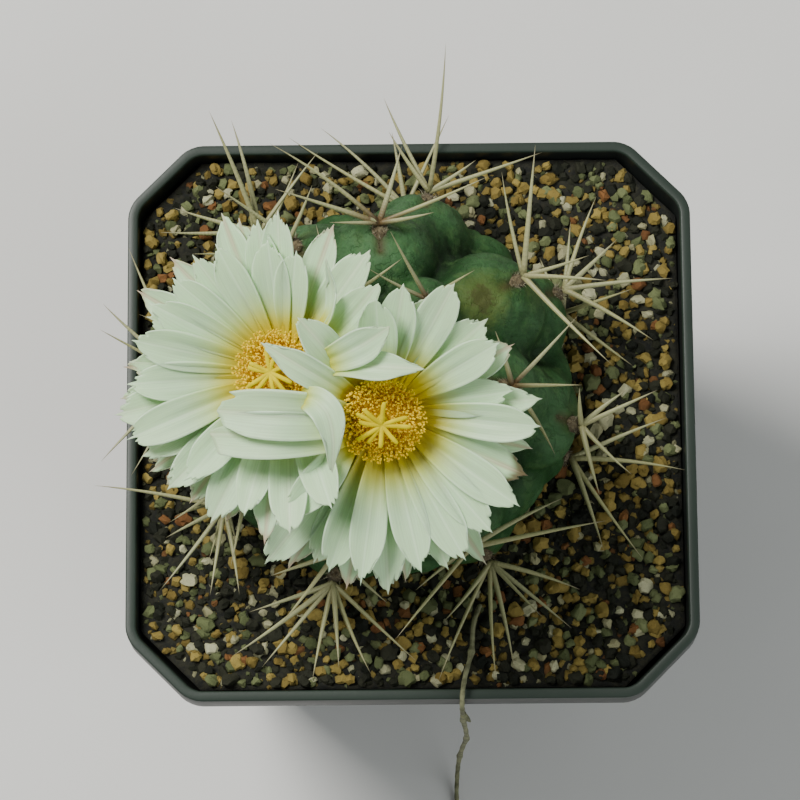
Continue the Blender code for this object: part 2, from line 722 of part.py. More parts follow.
def make_spines(placed):
    """A woolly cushion and its spines on every tubercle, each bent clear of what stands near it."""
    knobs = tubercle_knobs()
    finish = material("straw spines", (0.47, 0.41, 0.27), 0.6)
    draw = random.Random(SPINE_SEED)
    others = [tree(thing) for thing in placed]
    for rib, tier, bearing, polar, _, high in tubercles():
        seat = body_point(bearing, polar, knobs)
        above = body_point(bearing, polar - 2, knobs)
        beside = body_point(bearing + 2, polar, knobs)
        upward = (above - seat).normalized()
        away = upward.cross(seat - beside).normalized()
        if away.dot(seat - BODY_MIDDLE) < 0:
            away.negate()
        upward = (upward - away * upward.dot(away)).normalized()
        side = away.cross(upward)
        size = 0.55 + 0.45 * high
        rings = []
        for share, height in CUSHION_PROFILE:
            ring = []
            for s in range(CUSHION_SIDES):
                angle = math.tau * s / CUSHION_SIDES
                flat = upward * math.cos(angle) * CUSHION_LENGTH / 2
                flat += side * math.sin(angle) * CUSHION_WIDTH / 2
                ring.append(seat + flat * share * size + away * (GAP + height * CUSHION_HEIGHT * size))
            rings.append(ring)
        name = f"spine-cluster-{rib + 1}-{tier + 1}"
        whole = [add_mesh(name, *skin(rings), finish)]
        root = seat + away * (GAP + 0.55 * CUSHION_HEIGHT * size)
        radius = SPINE_RADIUS * (0.7 + 0.3 * high)
        if (rib, tier) in SEEN_SPINES:
            rows = [(aim(turn, 90 - lift), length) for turn, lift, length in SEEN_SPINES[rib, tier]]
        else:
            rows = ring_spines(away, upward, draw)
        for direction, length in rows:
            tip = bent_clear(root, direction, length, away, others)
            if tip:
                whole.append(add_mesh(*needle(root, tip, radius, SPINE_BOW * length)))
        others.append(tree(fuse(whole)))


def main():
    """Builds the whole plant in its pot."""
    clear_scene()
    petals = material("white petals", (0.80, 0.84, 0.72), 0.5)
    stamens = material("golden stamens", (0.72, 0.45, 0.06), 0.7)
    stigmas = material("yellow stigma", (0.85, 0.72, 0.05), 0.5)
    placed = [make_pot(), make_grit(), make_body(), make_stem()]
    for side in FLOWERS:
        placed += [make_petals(side, petals), make_stamens(side, stamens), make_style(side, stigmas)]
    make_spines(placed)


main()
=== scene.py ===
"""The looks of a thelocactus in flower, in a square black plastic pot with cut corners.

The frame gives the solids, in metres, with the pot's base on the floor at the origin. Shapes here are
worked out in millimetres and made into meshes in metres. +X is right, -Y is the front and +Z is up.
"""
import math
import random

import bmesh
import bpy
import numpy as np
from bpy.props import FloatProperty, FloatVectorProperty, IntProperty, PointerProperty
from mathutils import Matrix, Vector, noise
from mathutils.bvhtree import BVHTree


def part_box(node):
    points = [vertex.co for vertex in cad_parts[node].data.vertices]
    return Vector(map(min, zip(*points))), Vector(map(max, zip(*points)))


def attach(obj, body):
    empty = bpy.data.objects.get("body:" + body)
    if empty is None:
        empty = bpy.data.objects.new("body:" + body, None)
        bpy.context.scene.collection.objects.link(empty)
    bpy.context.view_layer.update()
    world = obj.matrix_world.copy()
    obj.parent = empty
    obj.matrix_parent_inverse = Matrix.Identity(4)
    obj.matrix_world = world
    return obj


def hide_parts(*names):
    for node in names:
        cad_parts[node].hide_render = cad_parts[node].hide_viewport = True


bl_info = {
    "name": "Potted thelocactus",
    "version": (1, 0, 0),
    "blender": (4, 5, 0),
    "location": "View3D > Sidebar > Thelocactus",
    "description": "Dresses the solids of a flowering thelocactus in its pot",
    "category": "Object",
}

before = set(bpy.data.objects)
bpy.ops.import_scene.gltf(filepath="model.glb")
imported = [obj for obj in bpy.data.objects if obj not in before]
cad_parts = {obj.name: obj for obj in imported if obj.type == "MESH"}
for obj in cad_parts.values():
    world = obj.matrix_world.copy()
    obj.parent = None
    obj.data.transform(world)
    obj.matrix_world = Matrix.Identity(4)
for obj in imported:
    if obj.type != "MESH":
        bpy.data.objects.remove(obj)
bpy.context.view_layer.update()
MM = 0.001

# pot
POT_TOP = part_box("pot")[1]
POT_HALF = POT_TOP.x / MM
POT_HEIGHT = POT_TOP.z / MM
POT_CUT = 12.2
BASE_HALF = 39.0
RIM_WIDTH = 2.0
LIP_DEPTH = 7.5
LIP_STEP = 1.3
WALL = 1.4
FLOOR = 2.2
CORNER_ROUND = 2.4
EDGE_ROUND = 0.45
# Edges that turn by more than these angles are rounded off, or shaded as sharp.
ROUNDED_ANGLE = 28.0
POT_CREASE = 24.0
DRAIN_RADIUS = 4.0
DRAIN_PLACE = 17.0
CHANNEL_WIDTH = 5.0
CHANNEL_DEPTH = 0.8

# grit
GRIT_TOP = 88.2
BED_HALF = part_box("grit-bed")[1].x / MM
BED_CUT = POT_CUT * BED_HALF / POT_HALF
BED_CELLS = 90
BED_CLEARANCE = 0.5
BED_ROUGHNESS = 0.5
PEBBLES = 6
GRAIN_CREASE = 32.0
# How far a grain strays sideways, as a share of its layer's spacing, and up or down in millimetres.
GRAIN_STRAY = 0.38
GRAIN_SHIFT = 0.35
# Each layer of grains as (spacing, smallest and largest radius, height of its middle, share of places
# filled, whether its grains are rounded, share of the faces kept).
GRAIN_LAYERS = (
    (1.45, 0.55, 0.95, -0.35, 1.0, False, 0.36),
    (2.1, 0.9, 1.5, 0.15, 1.0, False, 0.5),
    (3.4, 1.1, 1.85, 0.65, 0.7, True, 0.4),
)
# How common each colour of grain is.
GRAIN_SHARES = {"dark": 0.34, "ochre": 0.31, "brick": 0.05, "cream": 0.10, "moss-grey": 0.20}
# The two tones of each colour.
GRAIN_TONES = {
    "dark": ((0.005, 0.007, 0.005), (0.026, 0.027, 0.016)),
    "ochre": ((0.135, 0.092, 0.020), (0.32, 0.245, 0.066)),
    "brick": ((0.105, 0.045, 0.016), (0.22, 0.100, 0.032)),
    "cream": ((0.26, 0.245, 0.125), (0.46, 0.46, 0.29)),
    "moss-grey": ((0.062, 0.078, 0.030), (0.17, 0.195, 0.085)),
}

# cactus body
BODY_MIDDLE = Vector((-4.5, 4.5, 97.0))
# How far the skin lies from the body's middle before its relief: sideways, upwards and downwards.
BODY_OUT = 32.0
BODY_UP = 27.0
BODY_DOWN = 13.0
BODY_SEGMENTS = 288
BODY_RINGS = 176
TUBERCLE_HEIGHT = 6.0
TUBERCLE_CHIN = 3.0
TUBERCLE_RADIUS = 19.5
TUBERCLE_ROUND = 2.2
GROOVE_DEPTH = 0.25
VALLEY_SHARPNESS = 9.0
BRIDGE_WIDTH = 0.8
BRIDGE_HEIGHT = 0.62
GIRDLE_POLAR = 96.0
GIRDLE_RADIUS = 18.0
GIRDLE_HEIGHT = 0.7
# Tubercles are full-grown from this angle down. Nearer to the crown they are smaller.
GROWN_POLAR = 44.0
YOUNG_START = 8.0
# The relief fades out from the second of these angles down to the first, near the grit's top.
SOIL_POLAR = 127.0
FADE_POLAR = 116.0
# Where the body runs into the root stock, as a height and a share of its radius, and the root stock's
# rings below it, as heights and radii.
BODY_FOOT = (86.0, 0.8)
ROOT_STEPS = ((84.0, 25.5), (75.0, 17.0), (64.0, 9.0), (55.0, 1.5))
# The skin's swellings, wrinkles and pits, each as (how close together, how deep).
SWELLINGS = (0.12, 1.1)
WRINKLES = (0.19, -0.5)
PITS = (0.45, 0.16)
# The bearing and polar angle of an old scar with a yellowed patch round it.
OLD_SCAR = (34, 39)
FURROW_LENGTH = 5.5
FURROW_WIDTH = 0.9
FURROW_DEPTH = 0.7
# Each rib's tubercles as (bearing from +X, angle down from the crown), from the crown to the grit.
RIBS = (
    ((92, 43), (77, 77), (84, 106)),
    ((52, 21), (33, 53), (28, 83), (25, 106)),
    ((-13, 39), (-14, 77), (-20, 106)),
    ((-62, 41), (-65, 70), (-60, 98)),
    ((-104, 36), (-106, 67), (-106, 98)),
    ((-150, 23), (-143, 54), (-143, 85), (-147, 106)),
    ((178, 47), (178, 78), (174, 105)),
    ((135, 21), (126, 51), (129, 79), (131, 105)),
)

# spines
SPINE_BOW = 0.02
SPINE_ROOT = 0.50
# How thick the youngest spines are, as a share of a grown one, and how much each one varies.
YOUNG_SHARE = 0.66
SPINE_SPREAD = 0.15
# The least length of the edges that meet at a needle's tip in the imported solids.
NEEDLE_LEAST = 3.0
CUSHION_LENGTH = 5.0
CUSHION_WIDTH = 3.8
CUSHION_HEIGHT = 1.7
SPINE_SEED = 21
WOOL_SEED = 8
CUSHION_HAIRS = 90
FURROW_HAIRS = 40
CROWN_HAIRS = 500
HAIR_RADIUS = 0.08
CROWN_HAIR_RADIUS = 0.1
CROWN_HAIR_LENGTHS = (1.6, 3.2)
FURROW_HAIR_LENGTHS = (0.6, 1.1)
TUFT_RADIUS = 7.0
GREY_SHARE = 0.35

# flowers
# Each flower's throat, the root of its tube, and how far it leans to the left and to the front in degrees.
FLOWERS = {
    "right": {
        "throat": Vector((-4.9, -9.6, 139.6)),
        "root": Vector((-4.6, 2.0, 118.0)),
        "lean": (0.0, 28.0),
    },
    "left": {
        "throat": Vector((-23.2, -0.6, 134.9)),
        "root": Vector((-9.0, 6.0, 117.0)),
        "lean": (16.0, 12.0),
    },
}
CUP_RADIUS = 6.6
CUP_DEPTH = 7.0
CUP_LIP = 0.9
PETAL_SEAT = 2.2
TUBE_RADIUS = 3.4
PETAL_WIDTH = 6.9
# Where along its length a petal is widest, and how broad its root is as a share of that.
PETAL_WIDEST = 0.72
PETAL_ROOT = 0.36
PETAL_CHANNEL = 1.15
PETAL_SKIN = 0.26
TEETH = 16
# Petals broader than this have half as many teeth.
BROAD_PETAL = 8.5
# Each whorl as (rise from the face plane, width share, drop at the tip, how pink its stripe is).
WHORLS = {"inner": (23.0, 1.0, 1.6, 0.0), "middle": (13.5, 1.02, 1.4, 0.2), "outer": (4.0, 0.92, 1.0, 1.0)}
# The bearings between which petals lie on or under the other flower's, and how much those are tilted.
FAN_TILTS = {"right": (-170, -104, -10.0), "left": (-98, -40, 9.0)}
# The open petals of each flower by whorl, as the places of their tips in the photograph's pixels.
PETAL_TIPS = {
    "right": {
        "inner": (
            (376, 300), (497, 344), (511, 391), (537, 426), (516, 504), (490, 530), (464, 557),
            (421, 570), (361, 581), (330, 568),
        ),
        "middle": (
            (403, 287), (453, 286), (485, 321), (538, 399), (524, 474), (447, 566), (388, 590),
            (315, 560), (268, 560),
        ),
        "outer": (
            (425, 300), (512, 345), (529, 448), (512, 500), (484, 561), (405, 578), (347, 585),
            (290, 566), (383, 318), (352, 322), (326, 352),
        ),
    },
    "left": {
        "inner": (
            (296, 254), (268, 243), (217, 247), (175, 280), (153, 305), (136, 341), (131, 384),
            (131, 438), (187, 478), (245, 513), (331, 506),
        ),
        "middle": (
            (368, 253), (278, 214), (258, 223), (195, 258), (150, 318), (133, 362), (118, 414),
            (145, 455), (170, 487), (212, 520), (290, 531),
        ),
        "outer": (
            (333, 227), (240, 222), (223, 217), (173, 260), (140, 292), (127, 367), (124, 398),
            (152, 470), (192, 500), (228, 518), (265, 540),
        ),
    },
}
# The one of them whose tip has withered.
WITHERED = (524, 474)
# Petals of the crowded sides, which rise and fold over the other flower, as (width, how far they are turned
# on edge in degrees, line from root to tip as pixels of the photograph with heights in millimetres).
FOLDED = {
    "right": (
        (5.6, 12, ((357, 397, 139.5), (338, 388, 146.0), (300, 366, 150.5), (262, 343, 151.5))),
        (6.6, -8, ((360, 393, 140.0), (346, 374, 145.0), (322, 345, 150.5), (298, 318, 154.0))),
        (9.2, 4, ((352, 424, 139.0), (335, 418, 144.0), (282, 415, 146.0), (219, 411, 142.5))),
        (8.8, 10, ((354, 432, 138.0), (335, 432, 142.5), (275, 434, 143.6), (212, 434, 139.0))),
        (7.0, 10, ((356, 440, 137.0), (340, 455, 138.5), (320, 480, 138.0), (290, 512, 135.0))),
    ),
    "left": (
        (5.6, 18, ((309, 374, 138.5), (340, 365, 149.0), (378, 367, 152.0), (423, 369, 153.5))),
        (6.4, -10, ((309, 366, 139.0), (335, 358, 150.0), (362, 345, 153.5), (389, 327, 156.0))),
        (5.8, 8, ((301, 400, 139.0), (303, 399, 145.0), (309, 399, 148.6), (318, 403, 150.6),
                  (328, 416, 151.2), (333, 441, 150.0), (332, 472, 147.0))),
        (5.0, 62, ((303, 346, 139.0), (328, 320, 148.0), (334, 292, 151.0), (326, 259, 154.0))),
        (6.6, 6, ((306, 352, 138.5), (333, 334, 146.0), (357, 309, 150.0), (378, 284, 153.0))),
    ),
}
TUBE_SCALES = 30
SCALE_TURN = 137.5
SCALE_SKIN = 0.3
# Measures that grow steadily, each as (at the start, added by the end): up the tube, outwards over the
# disc of stamens, up the style and along a lobe.
SCALE_PLACE = (0.10, 0.50)
SCALE_LENGTH = (3.5, 4.0)
SCALE_WIDTH = (3.2, 2.6)
STAMEN_FOOT = (1.3, 4.0)
STAMEN_HEAD = (1.5, 6.3)
STAMEN_HEIGHT = (3.3, 0.9)
STYLE_RADIUS = (0.95, 0.3)
LOBE_RADIUS = (0.44, 0.08)
STAMEN_TURN = 137.508
ANTHER_SIZE = (0.24, 0.18, 0.31)
THREAD_RADIUS = 0.12
CORE_RADIUS = 5.7
CORE_HEIGHT = 1.2
STYLE_HEIGHT = 7.2
STIGMA_LENGTH = 4.9
# The directions of the stigma's lobes round each style, in degrees from the right.
STIGMA_LOBES = {
    "right": (24, 88, 136, 153, 176, 212, 229, 268, 308, 358),
    "left": (22, 74, 99, 155, 171, 214, 238, 278, 306, 338),
}

# dry stem
STEM_RADIUS = 0.48
STEM_SIDES = 10
# Rings for each stretch of the route.
ROUTE_STEPS = 5
# The stem's middle line: out of the grit, over the rim, down the pot and along the floor.
STEM_ROUTE = (
    (13.0, -36.5, 83.0), (13.0, -36.5, 88.0), (12.6, -37.5, 91.0), (11.6, -41.0, 92.6), (11.2, -46.0, 92.8),
    (10.0, -50.5, 93.6), (9.4, -54.0, 93.8), (9.3, -56.4, 92.6), (9.4, -57.0, 88.5), (9.6, -57.2, 78.0),
    (10.2, -57.4, 64.0), (10.4, -57.2, 50.0), (9.8, -57.0, 36.0), (9.2, -57.3, 22.0), (8.9, -58.1, 10.0),
    (8.7, -60.0, 3.4), (8.6, -63.4, 1.0), (9.0, -68.0, 0.8), (9.9, -73.0, 0.8),
)
# The places of the route at which the stem swells, and the two ends of its bud.
STEM_NODES = (4, 9, 11, 13)
STEM_BUD = ((9.5, -57.2, 86.6), (11.0, -58.4, 84.2))
BUD_RADIUS = 0.55

# camera, as the photograph was taken: tilted from straight down, turned and rolled a little
CAMERA_TILT = 12.0
CAMERA_TURN = 1.38
CAMERA_ROLL = -1.92
CAMERA_FAR = 750.0
FOCAL_PIXELS = 3877.0
PICTURE = 800
AIM_PIXEL = (410.7, 417.1)
SENSOR = 36.0

# stage
FLOOR_SIZE = 6.0
SKY = (0.92, 0.96, 0.94, 1.0)
SKY_POWER = 0.25
# Each light, under the name that its power has in the settings, as (place in metres, size, colour).
LIGHTS = {
    "key": ((-0.45, 0.30, 0.85), 0.36, (1.0, 0.98, 0.94)),
    "fill": ((0.65, -0.45, 0.60), 0.8, (0.94, 0.98, 1.0)),
}


# Settings that a user would change.

class PotSettings(bpy.types.PropertyGroup):
    colour: FloatVectorProperty(
        name="Plastic", description="Colour of the pot", subtype="COLOR", default=(0.010, 0.0125, 0.0115))
    roughness: FloatProperty(
        name="Roughness", description="How dull the plastic is", default=0.42, min=0, max=1)


class GritSettings(bpy.types.PropertyGroup):
    seed: IntProperty(name="Seed", description="Another number lays the grains another way", default=5)


class BodySettings(bpy.types.PropertyGroup):
    skin: FloatVectorProperty(
        name="Skin", description="Colour of the tubercles", subtype="COLOR", default=(0.014, 0.056, 0.012))
    bloom: FloatVectorProperty(
        name="Bloom", description="Colour of the waxy bloom", subtype="COLOR", default=(0.050, 0.130, 0.046))
    # The groove colour is painted shade in the grooves between the tubercles; the fine fissures take it as
    # their own dark colour.
    groove_shade_and_fissures: FloatVectorProperty(
        name="Groove", description="Colour of the grooves", subtype="COLOR", default=(0.008, 0.030, 0.007))


class SpineSettings(bpy.types.PropertyGroup):
    straw: FloatVectorProperty(
        name="Straw", description="Colour along the spines", subtype="COLOR", default=(0.33, 0.33, 0.15))
    tip: FloatVectorProperty(
        name="Tip", description="Colour at the spines' tips", subtype="COLOR", default=(0.24, 0.215, 0.12))
    thickness: FloatProperty(
        name="Thickness", description="Radius at the root of a grown spine", default=SPINE_ROOT * MM,
        subtype="DISTANCE", unit="LENGTH")


class FlowerSettings(bpy.types.PropertyGroup):
    white: FloatVectorProperty(
        name="White", description="Colour of the petals", subtype="COLOR", default=(0.53, 0.79, 0.45))
    throat: FloatVectorProperty(
        name="Throat", description="Colour at the petals' bases", subtype="COLOR", default=(0.56, 0.43, 0.0))
    stripe: FloatVectorProperty(
        name="Stripe", description="Colour of the stripes", subtype="COLOR", default=(0.42, 0.13, 0.12))
    stamens: IntProperty(name="Stamens", description="Stamens in each flower", default=900, min=50, max=1000)


class StageSettings(bpy.types.PropertyGroup):
    floor: FloatVectorProperty(
        name="Floor", description="Colour of the floor", subtype="COLOR", default=(0.72, 0.72, 0.70))
    key: FloatProperty(name="Key light", description="Power of the main light", unit="POWER", default=13.0)
    fill: FloatProperty(
        name="Fill light", description="Power of the second light", unit="POWER", default=4.0)


# Small helpers for modelling.

def let_go():
    """Leaves edit mode and deselects everything."""
    if bpy.context.object and bpy.context.object.mode != "OBJECT":
        bpy.ops.object.mode_set(mode="OBJECT")
    bpy.ops.object.select_all(action="DESELECT")


def chosen(thing):
    """Selects one object and nothing else."""
    let_go()
    thing.select_set(True)
    bpy.context.view_layer.objects.active = thing
    return thing


def started(kind, **shape):
    """Adds one of Blender's own shapes, opens it for editing and selects all of it."""
    let_go()
    getattr(bpy.ops.mesh, f"primitive_{kind}_add")(**shape)
    bpy.ops.object.mode_set(mode="EDIT")
    bpy.ops.mesh.select_all(action="SELECT")
    return bpy.context.object


def pick(thing, kind, wanted):
    """In edit mode, selects the points, edges or faces that pass a test, and nothing else."""
    bpy.ops.mesh.select_mode(type=kind)
    bpy.ops.mesh.select_all(action="DESELECT")
    shape = bmesh.from_edit_mesh(thing.data)
    for item in {"VERT": shape.verts, "EDGE": shape.edges, "FACE": shape.faces}[kind]:
        if wanted(item):
            item.select_set(True)
    shape.select_flush_mode()
    bmesh.update_edit_mesh(thing.data)


def apply(thing, kind, **settings):
    """Adds a modifier with its settings and applies it."""
    let_go()
    bpy.context.view_layer.objects.active = thing
    modifier = thing.modifiers.new(kind.lower(), kind)
    for key, value in settings.items():
        setattr(modifier, key, value)
    bpy.ops.object.modifier_apply(modifier=modifier.name)


def take(thing):
    """The points and faces of a prototype as arrays, and the prototype removed."""
    chosen(thing)
    bpy.ops.object.transform_apply(location=True, rotation=True, scale=True)
    mesh = thing.data
    points = np.array([v.co for v in mesh.vertices])
    faces = [tuple(p.vertices) for p in mesh.polygons]
    bpy.data.objects.remove(thing, do_unlink=True)
    bpy.data.meshes.remove(mesh)
    return points, faces


def cut_rings(rod, cuts):
    """In edit mode, cuts rings round a rod of length 1."""
    pick(rod, "EDGE", lambda e: abs(e.verts[0].co.z - e.verts[1].co.z) > 0.5)
    bpy.ops.mesh.subdivide(number_cuts=cuts)


def rod_kind(cuts, shape="cylinder", **settings):
    """A rod or cone of radius and length 1 that stands on the origin, with rings cut round it."""
    rod = started(shape, depth=1.0, location=(0, 0, 0.5), **settings)
    cut_rings(rod, cuts)
    return take(rod)


def sheet_kind(columns, rows):
    """A flat sheet of so many columns and rows, -1 to 1 across and 0 to 1 along."""
    sheet = started("grid", x_subdivisions=columns, y_subdivisions=rows, size=2.0)
    bpy.ops.transform.translate(value=(0, 1, 0))
    bpy.ops.transform.resize(value=(1, 0.5, 1), center_override=(0, 0, 0))
    return take(sheet)


def joined(name, copies, finish, maps=(), smooth=True):
    """One mesh in metres from copies given as (points in mm, faces, {map name: a pair for each point})."""
    points, faces, start = [], [], 0
    for copy in copies:
        points.append(copy[0])
        faces += [tuple(start + i for i in face) for face in copy[1]]
        start += len(copy[0])
    mesh = bpy.data.meshes.new(name)
    mesh.from_pydata(np.concatenate(points) * MM, [], faces)
    for key in maps:
        pairs = np.concatenate([copy[2][key] for copy in copies])
        layer = mesh.uv_layers.new(name=key)
        corners = np.empty(len(mesh.loops), int)
        mesh.loops.foreach_get("vertex_index", corners)
        layer.data.foreach_set("uv", pairs[corners].astype(np.float32).ravel())
    if smooth:
        mesh.shade_smooth()
    mesh.materials.append(finish)
    piece = bpy.data.objects.new(name, mesh)
    bpy.context.collection.objects.link(piece)
    return chosen(piece)


def outward(piece):
    """Turns the faces of a closed piece outwards."""
    chosen(piece)
    bpy.ops.object.mode_set(mode="EDIT")
    bpy.ops.mesh.select_all(action="SELECT")
    bpy.ops.mesh.normals_make_consistent(inside=False)
    bpy.ops.object.mode_set(mode="OBJECT")


def named(piece, name, finish):
    """Gives a piece its name and its finish."""
    piece.name = piece.data.name = name
    piece.data.materials.append(finish)


def shown(piece, slot, *nodes):
    """Attaches a finished piece to the root and hides the nodes that it stands for. Its material slot is not
    used.
    """
    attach(piece, "root")
    if nodes:
        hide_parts(*nodes)
    return piece


def stray(draw, reach):
    """A random number from minus a reach to plus that reach."""
    return draw.uniform(-reach, reach)


def grown(measure, share):
    """A measure given as (at the start, added by the end), at a share of the way."""
    return measure[0] + measure[1] * share


# Small helpers for finishes.

class Finish:
    """A material in the making: its colour so far, and short names for the nodes that feed its shader."""

    def __init__(self, name, colour, roughness, specular=0.5):
        self.material = bpy.data.materials.new(name)
        self.material.use_nodes = True
        self.tree = self.material.node_tree
        self.colour = (*colour[:3], 1.0)
        self.set("Roughness", roughness)
        self.set("Specular IOR Level", specular)

    def plug(self, socket, value):
        """Gives a socket a value or a link."""
        if isinstance(value, bpy.types.NodeSocket):
            self.tree.links.new(value, socket)
        else:
            socket.default_value = value

    def set(self, key, value):
        """Sets one of the shader's own sockets."""
        self.plug(self.tree.nodes["Principled BSDF"].inputs[key], value)

    def add(self, kind, sockets, **settings):
        """A new node with its settings, and its sockets given values or links."""
        made = self.tree.nodes.new(kind)
        for key, value in settings.items():
            setattr(made, key, value)
        for key, value in sockets.items():
            self.plug(made.inputs[key], value)
        return made

    def maths(self, operation, a, b=0.0, clamp=False):
        """The result of one sum."""
        return self.add("ShaderNodeMath", {0: a, 1: b}, operation=operation, use_clamp=clamp).outputs[0]

    def times(self, first, *others):
        """The product of two or more values."""
        for other in others:
            first = self.maths("MULTIPLY", first, other)
        return first

    def eased(self, value, low, high, to_low=0.0, to_high=1.0):
        """A value taken smoothly from one range to another."""
        sockets = {"Value": value, "From Min": low, "From Max": high, "To Min": to_low, "To Max": to_high}
        return self.add("ShaderNodeMapRange", sockets, interpolation_type="SMOOTHSTEP").outputs[0]

    def tint(self, share, colour, strength=1.0):
        """Mixes another colour into the colour so far, by a share that can be weakened."""
        if strength < 1:
            share = self.times(share, strength)
        sockets = {0: share, 6: self.colour, 7: (*colour[:3], 1.0)}
        self.colour = self.add("ShaderNodeMix", sockets, data_type="RGBA").outputs[2]

    def on_object(self):
        """Object coordinates in millimetres."""
        place = self.add("ShaderNodeTexCoord", {}).outputs["Object"]
        return self.add("ShaderNodeMapping", {"Vector": place, "Scale": (1 / MM,) * 3}).outputs[0]

    def on_map(self, name, size=(1.0, 1.0, 1.0)):
        """The coordinates of one of the piece's own maps, stretched if need be."""
        place = self.add("ShaderNodeUVMap", {}, uv_map=name).outputs[0]
        return self.add("ShaderNodeMapping", {"Vector": place, "Scale": size}).outputs[0]

    def parts(self, vector):
        """The X, Y and Z of a vector."""
        return self.add("ShaderNodeSeparateXYZ", {0: vector}).outputs

    def clouds(self, place, scale, detail=3.0, rough=0.55):
        """A soft noise."""
        sockets = {"Vector": place, "Scale": scale, "Detail": detail, "Roughness": rough}
        return self.add("ShaderNodeTexNoise", sockets).outputs["Fac"]

    def from_middle(self, across):
        """How far a place on a sheet lies from its middle line, as a share of its width."""
        return self.maths("ABSOLUTE", self.maths("SUBTRACT", across, 0.5))

    def lit_through(self, weight, reach, depth):
        """Lets light into the surface: how much, how far for each colour, and how deep in millimetres."""
        self.set("Subsurface Weight", weight)
        self.set("Subsurface Radius", reach)
        self.set("Subsurface Scale", depth * MM)

    def done(self, height, strength, depth):
        """The material, with its colour on the shader and a relief of a depth in millimetres."""
        self.set("Base Color", self.colour)
        sockets = {"Height": height, "Strength": strength, "Distance": depth * MM}
        self.set("Normal", self.add("ShaderNodeBump", sockets).outputs[0])
        return self.material


def plastic_finish(settings):
    """Black moulded plastic with a fine grain, a little dust and a painted sheen on the top of the rim."""
    finish = Finish("black moulded plastic", settings.colour, settings.roughness, 0.35)
    place = finish.on_object()
    dust = finish.eased(finish.clouds(place, 0.12, 5.0, 0.65), 0.45, 0.75)
    finish.tint(dust, (0.034, 0.040, 0.034), 0.12)
    # The top of the rim is painted a lighter grey-green: a painted sheen, with a little dust.
    rim_sheen = finish.eased(finish.parts(place)[2], POT_HEIGHT - 1.2, POT_HEIGHT - 0.2)
    finish.tint(rim_sheen, (0.030, 0.050, 0.036), 0.55)
    finish.set("Roughness", finish.eased(dust, 0.0, 1.0, settings.roughness, settings.roughness + 0.03))
    return finish.done(finish.clouds(place, 2.2, 2.0), 0.25, 0.06)


def grain_finish(name, first, second):
    """Dry mineral grains, each a little different, with a pitted surface and painted shade that darkens them
    low down between the grains.
    """
    finish = Finish(name, first, 0.85, 0.2)
    tone = finish.parts(finish.on_map("tone"))[0]
    place = finish.on_object()
    patch = finish.clouds(place, 1.1, 4.0, 0.7)
    share = finish.maths("ADD", finish.times(tone, 0.75), finish.times(patch, 0.3), True)
    finish.tint(share, second)
    finish.tint(finish.eased(finish.clouds(place, 4.5, 2.0), 0.60, 0.72), (0.03, 0.026, 0.02), 0.5)
    # Painted shade: the grains are darker low down, where the grains above would shade them.
    low_shade = finish.eased(finish.parts(place)[2], GRIT_TOP + 1.2, GRIT_TOP - 0.7)
    finish.tint(low_shade, (0.018, 0.020, 0.010), 0.8)
    return finish.done(finish.clouds(place, 3.2, 4.0, 0.7), 0.7, 0.25)


def skin_finish(settings):
    """Dull blue-green waxy skin: darker in the grooves as painted shade, with bloom on the tubercles, a
    painted highlight on their tops and pale scars.
    """
    finish = Finish("waxy skin", settings.skin, 0.58, 0.22)
    skin = finish.add("ShaderNodeAttribute", {}, attribute_name="skin").outputs["Vector"]
    high, furrow, _ = finish.parts(skin)
    place = finish.on_object()
    patch = finish.clouds(place, 0.10, 4.0, 0.6)
    fine = finish.clouds(place, 0.75, 5.0, 0.65)
    finish.tint(finish.times(finish.eased(patch, 0.30, 0.62), finish.eased(high, 0.0, 0.75)), settings.bloom)
    # Painted highlight: the tops of the tubercles are painted a lighter yellow-green.
    painted_top_highlight = finish.times(finish.eased(high, 0.72, 1.0), finish.eased(finish.clouds(place, 0.16), 0.4, 0.6))
    finish.tint(painted_top_highlight, (0.066, 0.112, 0.022), 0.6)
    # Painted shade: the grooves between the tubercles are painted darker.
    finish.tint(finish.eased(high, 0.25, -0.2), settings.groove_shade_and_fissures)
    finish.tint(finish.eased(fine, 0.35, 0.75), (0.012, 0.040, 0.010), 0.4)
    finish.tint(finish.eased(finish.clouds(place, 0.34, 3.0), 0.50, 0.66), (0.062, 0.136, 0.040), 0.4)
    swell = finish.maths("SUBTRACT", finish.clouds(place, 0.22, 4.0, 0.55), 0.5)
    fissure = finish.times(finish.eased(finish.maths("ABSOLUTE", swell), 0.016, 0.0), patch)
    finish.tint(fissure, settings.groove_shade_and_fissures, 0.35)
    dots = finish.add("ShaderNodeTexVoronoi", {"Vector": place, "Scale": 1.6, "Randomness": 1.0})
    scarred = finish.eased(finish.clouds(place, 0.2), 0.56, 0.66)
    scar = finish.times(finish.eased(dots.outputs["Distance"], 0.16, 0.05), scarred)
    finish.tint(scar, (0.11, 0.145, 0.055), 0.4)
    finish.tint(furrow, (0.055, 0.052, 0.020))
    spot = Vector(skin_at(np.array([aim(*OLD_SCAR)]))[0][0])
    away = finish.add("ShaderNodeVectorMath", {0: place, 1: spot}, operation="DISTANCE")
    far = finish.maths("ADD", away.outputs["Value"], finish.times(fine, 6.0))
    finish.tint(finish.eased(far, 10.5, 5.5), (0.080, 0.106, 0.018), 0.65)
    finish.tint(finish.eased(far, 5.8, 4.8), (0.050, 0.044, 0.012), 0.6)
    finish.lit_through(0.08, (0.6, 1.0, 0.4), 1.0)
    pits = finish.maths("ADD", scar, finish.times(fissure, 0.45))
    return finish.done(finish.maths("SUBTRACT", fine, pits), 0.8, 0.5)


